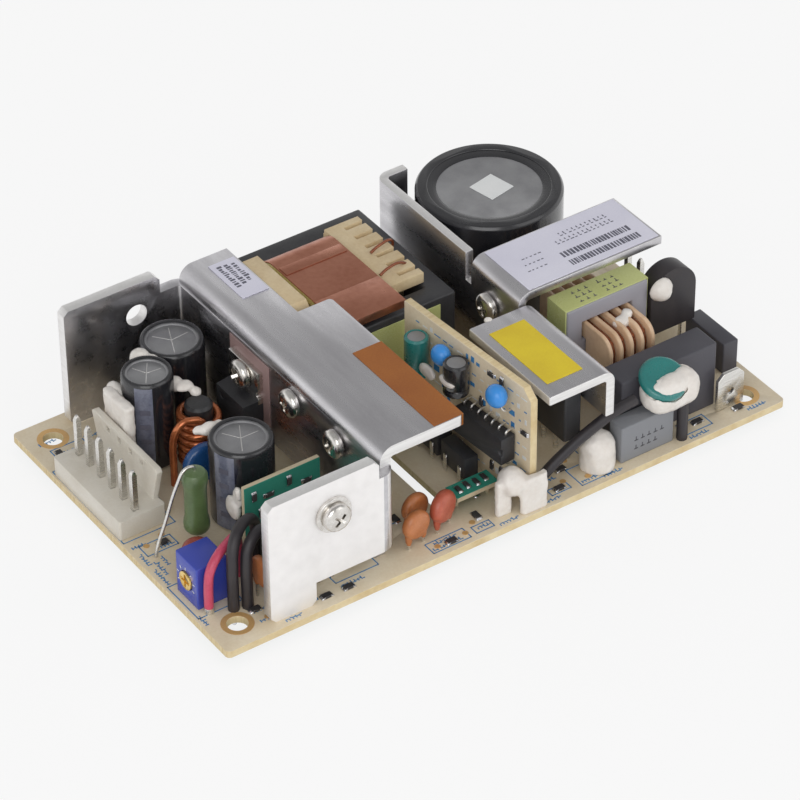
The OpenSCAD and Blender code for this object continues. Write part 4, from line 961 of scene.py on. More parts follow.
@dataclass
class OutputSink:
    """The folded heatsink between the output side and the transformer, and what hangs on it."""

    wall_x: float = 36.0
    wall_far: float = 38.3
    front: float = 2.0
    top: float = 26.7
    screw_lift: float = 12.596
    rear_device_y: float = 47.8
    rear_lift: float = 4.8
    wall_devices_y: tuple[float, ...] = (32.8, 18.2)
    wall_lift: float = 6.9
    ear_device_x: float = 24.2

    def build(self) -> None:
        """Builds the heatsink, its screws, devices, tape and label."""
        self.sheet()
        self.fixings()
        self.devices()
        self.tape_and_label()

    def sheet(self) -> None:
        """The folded sheet with bright sheared edges, and the front ear's front face painted near white as
        painted light.
        """
        piece = dress(shell_of("output_heatsink", 0.25, 2), Paint.SHEET)
        paint(piece, Paint.SHEET_EDGE, lambda place, out: self.is_edge(place, out))
        # Painted light: the front ear's front face gets the near white copy of the sheet finish, a painted
        # highlight.
        paint(piece, Paint.SHEET_LIT_FRONT, lambda place,
                out: out.y < -0.9 and place.x < self.wall_x - 1 and place.y < 5)
        stand(piece, "sheet", "output_heatsink")

    def is_edge(self, place: Vector, out: Vector) -> bool:
        """Whether a face is a sheared edge of the sheet."""
        on_ear = place.x < self.wall_x - 0.2
        ear_edge = on_ear and (out.z > 0.7 or abs(out.x) > 0.7)
        flange_front = out.y < -0.7 and place.x > self.wall_x + 0.4 and place.y < 5.5
        return ear_edge or flange_front

    def fixings(self) -> None:
        """Screws with cross recesses, the washer and the nuts."""
        ear_z = self.wall_lift + self.screw_lift
        piece = placed(
            screw("ear_screw_head", 7.1, math.pi / 4), at(self.ear_device_x, self.front - 0.7, ear_z),
            TOWARDS_FRONT,
        )
        stand(dress(piece, Paint.PLATED), "steel", "ear_screw")
        stand(dress(shell_of("ear_washer", 0.12), Paint.PLATED), "steel", "ear_washer")
        heads = [
            placed(screw("sink_screw", 6.4, 0.3 * k), at(self.wall_x, y, ear_z), TOWARDS_LEFT)
            for k, y in enumerate(self.wall_devices_y)
        ]
        rear = at(self.wall_x - 1.3, self.rear_device_y, self.rear_lift + self.screw_lift)
        heads.append(placed(screw("sink_screw", 6.4, 0.7), rear, TOWARDS_LEFT))
        heads.append(
            placed(screw("sink_screw", 5.9, 0.2), at(83.2, 36.4, 6.5 + self.screw_lift), TOWARDS_LEFT)
        )
        stand(dress(join("sink_screw_heads", heads), Paint.PLATED), "steel", "sink_screws")
        stand(dress(shell_of("screw_nuts", 0.25), Paint.PLATED), "steel", "screw_nuts")

    def devices(self) -> None:
        """The four rectifiers and the pad behind the rear one."""
        places = [(at(self.wall_x, self.rear_device_y, self.rear_lift), math.pi),
                  (at(self.ear_device_x, 4.3, self.wall_lift), math.pi / 2)]
        places += [(at(self.wall_far, y, self.wall_lift), 0.0) for y in self.wall_devices_y]
        PowerDevice().place_all("rectifier", "output_rectifiers", places)
        low = at(self.wall_x - 0.22, self.rear_device_y - 7.2, 5.4)
        high = at(self.wall_x - 0.02, self.rear_device_y + 6.2, 22.5)
        stand(dress(soften(block("insulating_pad", low, high), 0.08), Paint.PINK_PAD), "moulding")

    def tape_and_label(self) -> None:
        """The amber film over the wide flange and the small paper label."""
        tape = shell_of("flange_tape", 0.04, 1)
        stand(dress(tape, Paint.AMBER), "polyimide", "flange_tape")
        stand(dress(shell_of("small_label", 0.05, 1), Paint.PAPER), "label", "small_label")
        low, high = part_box("small_label")
        a, b = local(low), local(high)
        dice = random.Random(5)
        marks = []
        for row in range(3):
            x = a.x + 1.0 + row * 1.5
            y = a.y + 3.4 + 0.4 * row
            while y < b.y - 1.6:
                size = dice.uniform(0.25, 0.6)
                marks.append((x, y, x + dice.uniform(0.6, 1.1), y + size))
                y += size + dice.uniform(0.2, 0.35)
        stand(dress(strips("small_label_ink", marks, b.z, 0.02), Paint.INK), "label")


# ---------------------------------------------------------------- transformer


@dataclass
class Transformer:
    """The main transformer: ferrite, bobbin, winding, copper band and tape."""

    band_from: float = 52.4
    band_w: float = 14.6

    def build(self) -> None:
        """Builds and dresses the transformer."""
        stand(dress(shell_of("transformer_core", 0.5, 3), Paint.FERRITE), "ferrite", "transformer_core")
        stand(dress(shell_of("transformer_bobbin", 0.3, 2), Paint.BOBBIN), "bobbin", "transformer_bobbin")
        stand(dress(shell_of("transformer_coil", 0.3, 2), Paint.WOUND_TAPE), "coil", "transformer_coil")
        stand(
            dress(shell_of("transformer_tape", 0.06, 1), Paint.YELLOW_TAPE), "yellow_tape",
            "transformer_tape",
        )
        self.band()
        self.wound_leads()

    def band(self) -> None:
        """The copper band, slightly creased, with its soldered lap."""
        piece = shell_of("copper_band", 0.05, 1, 60)
        dress(piece, Paint.COPPER)
        stand(piece, "copper", "copper_band")
        low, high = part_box("copper_band")
        a, b = local(low), local(high)
        lap = block("copper_lap", at(a.x + 0.3, b.y - 9.5, b.z), at(b.x - 0.4, b.y - 6.8, b.z + 0.18))
        stand(dress(soften(lap, 0.08), Paint.COPPER), "copper")
        core_low, core_high = (local(corner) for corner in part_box("transformer_core"))
        top = max(core_high.z, b.z - 0.3)
        fold = block("copper_fold", at(a.x, core_low.y - 0.45, top), at(b.x, a.y + 4.0, top + 0.32))
        lip = block(
            "copper_lip", at(a.x, core_low.y - 0.45, top - 1.5), at(b.x, core_low.y - 0.13, top + 0.3),
        )
        flap = join("copper_flap", [soften(fold, 0.15, 2), soften(lip, 0.15, 2)])
        stand(dress(flap, Paint.COPPER), "copper")

    def wound_leads(self) -> None:
        """The winding's ends, led over the rails and down to the pins."""
        leads = []
        for k, x in enumerate((69.6, 72.2)):
            y = 50.5 + 7.0 * k
            route = [
                at(x - 2, y, 24.4), at(x, y + 0.4, 24.9), at(x + 3.4, y + 0.9, 24.6),
                at(75.9, y + 1.2, 21.8),
            ]
            leads.append(wire("winding_end", route, 0.3))
        stand(dress(join("winding_ends", leads), Paint.ENAMEL), "enamel")


# ---------------------------------------------------------------- primary side heatsink


@dataclass
class PrimarySink:
    """The heatsink with the labelled flange, and its power device."""

    wall_x: float = 83.2
    device_y: float = 36.4
    lift: float = 6.5

    def build(self) -> None:
        """Builds the heatsink, its device and the label."""
        piece = dress(shell_of("primary_heatsink", 0.22, 2), Paint.SHEET)
        paint(piece, Paint.SHEET_EDGE, lambda place, out: self.is_edge(place, out))
        stand(piece, "sheet", "primary_heatsink")
        PowerDevice().place_all(
            "switching", "switching_transistor", [(at(self.wall_x + 1.8, self.device_y, self.lift), 0.0)],
        )
        self.label()

    def is_edge(self, place: Vector, out: Vector) -> bool:
        """Whether a face is a sheared edge: the wall's top, the return's end or the flange's rim."""
        wall_top = out.z > 0.7 and place.x < self.wall_x + 6.9 and place.y > 43
        flange_rim = place.z > 24 and place.x > self.wall_x + 2.5 and place.y < 43 and (
            abs(out.y) > 0.7 or out.x > 0.7
        )
        return wall_top or flange_rim

    def label(self) -> None:
        """The paper label with two rows of grey bars and some dashes."""
        stand(dress(shell_of("identification_label", 0.05, 1), Paint.PAPER), "label", "identification_label")
        low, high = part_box("identification_label")
        a, b = local(low), local(high)
        dice = random.Random(3)
        marks = []
        for row in range(2):
            y = a.y + 1.6 + row * 2.9
            x = a.x + 11.5
            while x < b.x - 3.0:
                wide = dice.uniform(0.18, 0.62)
                marks.append((x, y, x + wide, y + 1.7))
                x += wide + dice.uniform(0.16, 0.3)
        for row, (start, count) in enumerate(((13.0, 13), (15.0, 11))):
            y = a.y + 8.6 + row * 1.9
            for k in range(count):
                x = a.x + start + k * 1.05
                marks.append((x, y, x + dice.uniform(0.35, 0.75), y + 0.24))
                marks.append((x, y + dice.uniform(0.4, 0.8), x + 0.24, y + 1.1))
        for row in range(3):
            for k in range(5):
                x = a.x + 3.2 + k * 0.95 + row * 0.6
                y = a.y + 4.6 + row * 1.9
                marks.append((x, y, x + dice.uniform(0.3, 0.7), y + 0.24))
        stand(dress(strips("identification_ink", marks, b.z, 0.02), Paint.INK), "label")


# ---------------------------------------------------------------- can capacitors


@dataclass
class Capacitors:
    """The bulk capacitor and the three output capacitors."""

    bulk: tuple[float, float, float, float] = (100.9, 61.5, 29.2, 25.2)
    cans: tuple[tuple[float, float, float, float], ...] = (
        (28.8, 63.6, 12.5, 18.0),
        (18.3, 55.4, 10.0, 20.0),
        (23.5, 31.2, 12.3, 18.0),
    )
    disc_drop: float = 0.25
    film: float = 0.4

    def build(self) -> None:
        """Builds the cans, their sleeves, scored tops and marks."""
        self.bulk_capacitor()
        self.output_capacitors()

    def bulk_capacitor(self) -> None:
        """The big can: black sleeve turned in round a grey disc with a pale square on it."""
        x, y, across, high = self.bulk
        can = dress(shell_of("bulk_capacitor_can", 0.15), Paint.CAN_TOP)
        stand(can, "can_top", "bulk_capacitor_can")
        sleeve = dress(shell_of("bulk_capacitor_sleeve", 0.25, 3, 25), Paint.SLEEVE)
        stand(sleeve, "sleeve", "bulk_capacitor_sleeve")
        ring = [
            (10.4, -0.24), (12.4, -0.24), (12.4, 0.14), (11.2, 0.12), (10.6, -0.02), (10.4, -0.1),
            (10.4, -0.24),
        ]
        stand(dress(placed(turned("folded_film", ring, 96), at(x, y, high)), Paint.SLEEVE), "sleeve")
        half = 3.1
        patch = block("pale_square", mm(-half, -half, 0), mm(half, half, 0.12))
        soften(placed(patch, at(x + 0.4, y - 0.2, high - self.disc_drop), (0, 0, math.radians(12))), 0.05, 1)
        stand(dress(patch, Paint.PALE_PATCH), "label")

    def output_capacitors(self) -> None:
        """The small cans with scored tops, and sleeves with a pale stripe."""
        stand(
            dress(shell_of("output_capacitor_cans", 0.12), Paint.CAN_TOP), "can_top",
            "output_capacitor_cans",
        )
        sleeves = dress(join("output_sleeves", [self.sleeve(*can) for can in self.cans]), Paint.SLEEVE)
        for index, facing in ((1, 232.0), (2, 205.0)):
            x, y, across, high = self.cans[index]
            paint(
                sleeves,
                Paint.SLEEVE_MARK,
                lambda place, out, cx=x, cy=y, r=across / 2, turn=facing: self.in_stripe(
                    place, out, cx, cy, r, turn,
                ),
            )
        stand(sleeves, "sleeve", "output_capacitor_sleeves")
        scores, discs = [], []
        for x, y, across, high in self.cans:
            reach = across * 0.31
            disc = [
                (0, -0.32), (across * 0.375, -0.32), (across * 0.375, -0.26), (across * 0.37, -0.22),
                (0, -0.22),
            ]
            discs.append(placed(turned("can_disc", disc), at(x, y, high)))
            for turn, low, far in ((38, -reach, reach), (100, 0.0, reach), (-24, 0.0, reach)):
                line = block("score", mm(low, -0.08, -0.02), mm(far, 0.08, 0.05))
                scores.append(placed(line, at(x, y, high - self.disc_drop), (0, 0, math.radians(turn + x))))
        stand(dress(soften(join("vent_scores", scores), 0.03, 1), Paint.SCORE), "can_top")
        stand(dress(join("can_discs", discs), Paint.CAN_TOP), "can_top")
        marks = []
        for index, facing in ((1, 232.0), (2, 205.0)):
            x, y, across, high = self.cans[index]
            for k in range(4):
                mark = block("stripe_mark", mm(across / 2 - 0.02, -1.0, 0), mm(across / 2 + 0.05, 1.0, 1.1))
                marks.append(placed(mark, at(x, y, 3.4 + 3.4 * k), (0, 0, math.radians(facing))))
        stand(dress(join("stripe_marks", marks), Paint.INK), "sleeve")

    def sleeve(self, x: float, y: float, across: float, high: float) -> Thing:
        """A shrink sleeve turned in over its can's rim.

        Args:
            x: The can's place along the board's length.
            y: The can's place along the board's width.
            across: The sleeve's diameter.
            high: The can's height.

        Returns:
            The sleeve, in place.
        """
        r, t = across / 2, self.film
        profile = [
            (r - t, 0.6), (r, 0.6), (r, high - 0.3), (r - 0.12, high - 0.02), (r - 0.34, high + t * 0.8),
            (r - 0.5, high + t), (r * 0.83 + 0.1, high + t), (
                r * 0.83, high + t - 0.08,
            ), (r * 0.83, high + 0.02),
            (r - t - 0.4, high + 0.02), (r - t, high - 0.38), (r - t, 0.6),
        ]
        return placed(turned("shrink_sleeve", profile, 72), at(x, y))

    @staticmethod
    def in_stripe(place: Vector, out: Vector, x: float, y: float, radius: float, facing: float) -> bool:
        """Whether a face of a sleeve's side lies in its stripe."""
        offset = Vector((place.x - x, place.y - y))
        if abs(out.z) > 0.3 or abs(offset.length - radius) > 0.4:
            return False
        turn = math.degrees(math.atan2(offset.y, offset.x)) - facing
        return abs((turn + 180) % 360 - 180) < 20


# ---------------------------------------------------------------- line filter and front right parts


@dataclass
class LineFilter:
    """The line filter choke, the boxed capacitors, the fuse and what stands beside them."""

    choke_x: float = 92.0
    choke_y: float = 23.5
    choke_l: float = 19.0
    choke_d: float = 6.5
    choke_h: float = 21.3
    lift: float = 1.2
    frame_bar: float = 3.6
    ribs: int = 5
    rib_t: float = 0.9
    rib_d: float = 22.8
    strand: float = 0.3

    def build(self) -> None:
        """Builds everything round the line filter."""
        stand(dress(shell_of("choke_core", 0.35, 3), Paint.GREY_FERRITE), "grey_ferrite", "choke_core")
        stand(dress(shell_of("choke_bobbin", 0.4, 3), Paint.RIB), "rib", "choke_bobbin")
        stand(dress(shell_of("choke_tape", 0.06, 1), Paint.YELLOW_TAPE), "yellow_tape", "choke_tape")
        self.tape_marks()
        self.windings()
        self.boxes()
        self.limiter()
        self.tilted_disc()
        self.leads()
        stand(dress(shell_of("ground_tab", 0.15), Paint.TIN), "steel", "ground_tab")

    def tape_marks(self) -> None:
        """Dashes across the tape on the core's top."""
        dice = random.Random(9)
        marks = []
        for row in range(3):
            for k in range(7):
                if k == 3:
                    continue
                x = self.choke_x + 4.0 + k * 1.55 + dice.uniform(-0.1, 0.1)
                y = self.choke_y + 1.3 + row * 1.5
                marks.append((x, y, x + dice.uniform(0.7, 1.15), y + 0.2))
                marks.append((x + 0.3, y, x + 0.5, y + dice.uniform(0.5, 1.0)))
        stand(dress(strips("tape_marks", marks, self.choke_h + 0.25, 0.02), Paint.INK), "yellow_tape")

    def windings(self) -> None:
        """Turns of enamelled wire in the four bays between the ribs."""
        first = self.choke_x + self.frame_bar + 0.5
        last = self.choke_x + self.choke_l - self.frame_bar - 0.5
        step = (last - first - self.rib_t) / (self.ribs - 1)
        bay = step - self.rib_t - 0.1
        turns = int(bay / (2 * self.strand))
        middle_y = self.choke_y + self.choke_d / 2
        axis_z = (self.choke_h + self.lift) / 2
        rib_h = self.choke_h - self.lift - 2 * self.frame_bar - 0.6
        parts = []
        for k in range(self.ribs - 1):
            start = first + k * step + self.rib_t + 0.05
            core = block(
                "winding_core",
                at(start, middle_y - self.rib_d / 2 + 1.6, axis_z - rib_h / 2 + 1.6),
                at(start + bay, middle_y + self.rib_d / 2 - 1.6, axis_z + rib_h / 2 - 1.6),
            )
            parts.append(soften(core, 2.2, 4))
            centre = at(start + self.strand, middle_y, axis_z)
            ring = self.turn_of_wire(
                centre, self.rib_d / 2 - 1.2 - self.strand, rib_h / 2 - 1.2 - self.strand,
            )
            modify(ring, "ARRAY", count=turns, use_relative_offset=False, use_constant_offset=True,
                   constant_offset_displace=(bay / turns * MM, 0, 0))
            parts.append(ring)
        stand(dress(join("choke_turns", parts), Paint.ENAMEL), "enamel", "choke_windings")

    def turn_of_wire(self, centre: Vector, half_y: float, half_z: float, corner: float = 2.6) -> Thing:
        """One closed turn of wire round the X axis, with round corners."""
        curve = bpy.data.curves.new("turn", "CURVE")
        curve.dimensions = "3D"
        curve.bevel_depth = self.strand * MM
        curve.bevel_resolution = 1
        line = curve.splines.new("POLY")
        line.use_cyclic_u = True
        places = []
        for quarter, (sy, sz) in enumerate(((1, 1), (-1, 1), (-1, -1), (1, -1))):
            for part in range(6):
                turn = math.pi / 2 * (quarter + part / 5)
                y = sy * (half_y - corner) + corner * math.cos(turn)
                z = sz * (half_z - corner) + corner * math.sin(turn)
                places.append(centre + mm(0, y, z))
        line.points.add(len(places) - 1)
        for point, place in zip(line.points, places):
            point.co = (*place, 1.0)
        piece = bpy.data.objects.new("turn", curve)
        bpy.context.scene.collection.objects.link(piece)
        take(piece)
        bpy.ops.object.convert(target="MESH")
        return smooth(bpy.context.object, 60)

    def boxes(self) -> None:
        """The boxed capacitors and the fuse."""
        for node, slot, finish in (
            ("x_capacitor", "grey_box", Paint.GREY_BOX),
            ("film_capacitor", "light_box", Paint.LIGHT_BOX),
            ("fuse_block", "grey_box", Paint.GREY_BOX),
        ):
            stand(dress(shell_of(node, 0.35, 3), finish), slot, node)
        low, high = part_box("film_capacitor")
        a = local(low)
        marks = []
        for row, count in ((2.2, 4), (4.2, 5)):
            for k in range(count):
                x = a.x + 3.0 + 1.5 * k
                marks.append(block("box_mark", at(x, a.y - 0.03, row), at(x + 0.9, a.y + 0.02, row + 0.22)))
                marks.append(
                    block("box_mark", at(x + 0.3, a.y - 0.03, row), at(x + 0.5, a.y + 0.02, row + 0.95))
                )
        stand(dress(join("box_marks", marks), Paint.GREY_BOX), "light_box")

    def limiter(self) -> None:
        """The sleeved limiter with its soft edges and its two bare leads."""
        piece = dress(shell_of("thermistor", 0.9, 4), Paint.BLACK_SLEEVE)
        paint(piece, Paint.TIN, lambda place, out: place.z < 7.4)
        stand(piece, "black_sleeve", "thermistor")

    def tilted_disc(self) -> None:
        """The teal disc that leans on the bead."""
        disc = puffy("tilted_disc", 4.8, 2.0)
        piece = placed(disc, at(99.6, 3.6, 15), (math.radians(25 - 90), 0, 0))
        stand(dress(piece, Paint.TEAL), "teal", "safety_capacitor")

    def leads(self) -> None:
        """The sleeved leads of the tilted disc."""
        route = (
            (71.1, 4.9, 0), (71.1, 4.9, 1.6), (72.8, 4.9, 3.2), (78, 4.7, 6.8), (84, 4.2, 10.2),
            (89.4, 3.8, 12.4), (93.2, 3.6, 13.1),
        )
        riser = ((103.6, 2.2, 0), (103.6, 2.2, 3), (103.6, 2.2, 6), (103.6, 2.3, 8.4))
        tubes = [wire("sleeve", [at(*p) for p in path], 1.1) for path in (route, riser)]
        stand(dress(join("lead_sleeves", tubes), Paint.BLACK_SLEEVE), "black_sleeve", "sleeved_lead")


# ---------------------------------------------------------------- middle bracket


@dataclass
class MiddleBracket:
    """The bracket with the yellow patch, and the bridge rectifier under it."""

    rim: float = 0.22

    def build(self) -> None:
        """Builds the bracket, its patch and the bridge."""
        piece = dress(shell_of("middle_bracket", 0.3, 3), Paint.SHEET)
        paint(piece, Paint.SHEET_EDGE, lambda place, out: abs(out.y) > 0.7 or out.x < -0.7 and place.x < 73)
        stand(piece, "sheet", "middle_bracket")
        stand(dress(shell_of("bracket_patch", 0.05, 1), Paint.YELLOW_PATCH), "patch", "bracket_patch")
        bridge = dress(shell_of("bridge_rectifier", 0.3, 2), Paint.MOULDING)
        paint(bridge, Paint.TIN, lambda place, out: place.z < 5.3)
        stand(bridge, "moulding", "bridge_rectifier")


# ---------------------------------------------------------------- upright control board


@dataclass
class ControlBoard:
    """The upright control board with its chip, cans, drops and flat parts, and the parts at its foot."""

    foot: tuple[float, float] = (65.2, 39.0)
    turn: float = math.radians(4.5)
    thick: float = 1.6
    length: float = 36.8
    chip_front: float = 4.0
    chip_l: float = 13.5
    chip_t: float = 3.3
    chip_low: float = 8.7
    chip_high: float = 14.9

    def build(self) -> None:
        """Builds and dresses the board and all on it."""
        board = dress(shell_of("control_board", 0.12, 1), Paint.LAMINATE)
        paint(board, Paint.LAMINATE_EDGE, lambda place, out: abs(out.x) < 0.7)
        stand(board, "upright_board", "control_board")
        self.print_lines()
        self.chip()
        self.small_cans()
        self.drops()
        self.flat_parts()
        self.foot_parts()

    def spot(self, out: float, back: float, high: float) -> Vector:
        """A place out from the board's -X face and back from its front edge."""
        along = back - self.length
        x = self.foot[0] - out * math.cos(self.turn) - along * math.sin(self.turn)
        y = self.foot[1] - out * math.sin(self.turn) + along * math.cos(self.turn)
        return at(x, y, high)

    def box_on(self, name: str, low: Sequence[float], high: Sequence[float]) -> Thing:
        """A block given by its distance out, back and up on the board."""
        a = mm(-high[0], low[1] - self.length, low[2])
        b = mm(-low[0], high[1] - self.length, high[2])
        return placed(block(name, a, b), at(*self.foot), (0, 0, self.turn))

    def print_lines(self) -> None:
        """Blue and white print on the face towards the heatsink."""
        dice = random.Random(21)
        blue, white = [], []
        for row in range(9):
            back = 1.2
            high = 1.8 + row * 2.75
            while back < self.length - 2.5:
                wide = dice.uniform(0.4, 1.9)
                tall = 0.24 if dice.random() < 0.62 else dice.uniform(0.7, 1.5)
                spot = self.box_on("print", (0.0, back, high), (0.04, back + wide, high + tall))
                (blue if dice.random() < 0.6 else white).append(spot)
                back += wide + dice.uniform(0.5, 1.6)
        stand(dress(join("control_print_blue", blue), Paint.PRINT_BLUE), "upright_board")
        stand(dress(join("control_print_white", white), Paint.WHITE_PRINT), "upright_board")

    def chip(self) -> None:
        """The dual in line chip with its end notch and bent legs."""
        face = 0.4 + self.chip_t
        back_end = self.chip_front + self.chip_l
        body = self.box_on(
            "chip", (0.4, self.chip_front, self.chip_low + 0.3), (face, back_end, self.chip_high),
        )
        middle = (self.chip_low + self.chip_high) / 2
        notch = bar("notch", self.spot(face, self.chip_front, middle), 0.8 * MM, 0.8 * MM, Axis.X, 24)
        stand(dress(soften(cut(body, notch), 0.28, 2), Paint.MOULDING), "moulding", "control_chip")
        legs = []
        for k in range(7):
            back = self.chip_front + 0.8 + k * (self.chip_l - 1.6) / 6
            for side, edge in ((-1, self.chip_low + 0.3), (1, self.chip_high)):
                bends = ((1.9, -0.2), (1.9, 0.55), (1.5, 0.85), (0.2, 0.95))
                route = [self.spot(out, back, edge + side * up) for out, up in bends]
                legs.append(wire("chip_leg", route, 0.24, 3, 1))
        stand(dress(join("chip_legs", legs), Paint.TIN), "steel", "control_chip")

    def small_cans(self) -> None:
        """The two small cans: one dark, one green."""
        for name, out, back, low, across, high, finish in (
            ("dark_can", 2.8, 18.1, 17.4, 5.0, 7.0, Paint.SLEEVE),
            ("green_can", 2.65, 29.95, 14.5, 4.7, 9.0, Paint.TEAL),
        ):
            r = across / 2
            side = [(0, 0), (r - 0.3, 0), (r, 0.3), (r, 1.2), (r - 0.25, 1.5), (r, 1.8), (r, high - 0.3)]
            side += [(r - 0.3, high), (r * 0.74, high), (r * 0.74, high - 0.5), (0, high - 0.5)]
            top = [(0, high - 0.6), (r * 0.72, high - 0.6), (r * 0.72, high - 0.12), (0, high - 0.12)]
            where = self.spot(out, back, low)
            body = placed(turned(name, side, 32), where)
            disc = placed(turned(name + "_top", top, 32), where)
            stand(dress(body, finish), "small_cans", "control_electrolytics")
            stand(dress(disc, Paint.CAN_TOP), "can_top", "control_electrolytics")

    def drops(self) -> None:
        """The two blue dipped drops on bent leads."""
        parts, leads = [], []
        for back, size in ((6.8, 2.3), (22.8, 2.1)):
            centre = self.spot(2.6, back, 23.2)
            parts.append(ball("drop", centre, (size * 0.86 * MM, size * MM, size * MM), 14))
            for side in (-1, 1):
                bends = ((2.2, 0.7, 21.6), (2.0, 1.0, 20.4), (0.9, 1.2, 19.6), (0.1, 1.2, 19.5))
                route = [self.spot(out, back + step * side, high) for out, step, high in bends]
                leads.append(wire("drop_lead", route, 0.22, 3, 1))
        stand(dress(join("blue_drops", parts), Paint.BLUE_DIP), "blue_dip", "control_ceramics")
        stand(dress(join("drop_leads", leads), Paint.TIN), "steel")

    def flat_parts(self) -> None:
        """Chip parts on both faces of the board."""
        parts = ChipParts("control_chips", (1.7, 0.9, 0.5), 0.34)
        dice = random.Random(17)
        turns = (0.0, math.pi / 2)
        for back in range(2, 35, 3):
            for high in (3.2, 5.9, 16.4, 24.4):
                if dice.random() < 0.62 and not (high > 14 and 14 < back < 33):
                    where = self.spot(0.02, back + dice.uniform(-0.4, 0.4), high)
                    parts.add_standing(where, self.turn, dice.choice(turns))
        for back in range(4, 34, 5):
            for high in (7.2, 14.6, 21.0):
                if dice.random() < 0.6:
                    where = self.spot(-self.thick - 0.02, back, high)
                    parts.add_standing(where, self.turn + math.pi, dice.choice(turns))
        parts.finish("upright_board")

    def foot_parts(self) -> None:
        """The strip board and the two optocouplers at the board's foot."""
        strip = dress(shell_of("auxiliary_board", 0.06, 1), Paint.GREEN_BOARD)
        paint(strip, Paint.GREEN_RAW, lambda place, out: abs(out.z) < 0.5)
        stand(strip, "green_board", "auxiliary_board")
        chips = ChipParts("strip_chips", (1.6, 0.9, 0.5), 0.32)
        for k in range(4):
            chips.add(at(57.4 + 2.0 * k, 10.2 + 0.3 * (k % 2), 3.6), math.pi / 2)
        chips.finish("green_board")
        bodies, legs = [], []
        for x, y in ((61.4, 13.6), (61.4, 22.6)):
            bodies.append(soften(block("coupler", at(x, y + 0.15, 1.4), at(x + 3.1, y + 8.05, 6.4)), 0.25))
            for k in (0.22, 0.78):
                for side in (-0.12, 3.22):
                    low = at(x + side - 0.13, y + 8.2 * k - 0.5, 0)
                    high = at(x + side + 0.13, y + 8.2 * k + 0.5, 3.9)
                    legs.append(soften(block("coupler_leg", low, high), 0.08, 1))
        stand(dress(join("couplers", bodies), Paint.MOULDING), "moulding", "optocouplers")
        stand(dress(join("coupler_legs", legs), Paint.TIN), "steel")


# ---------------------------------------------------------------- output side


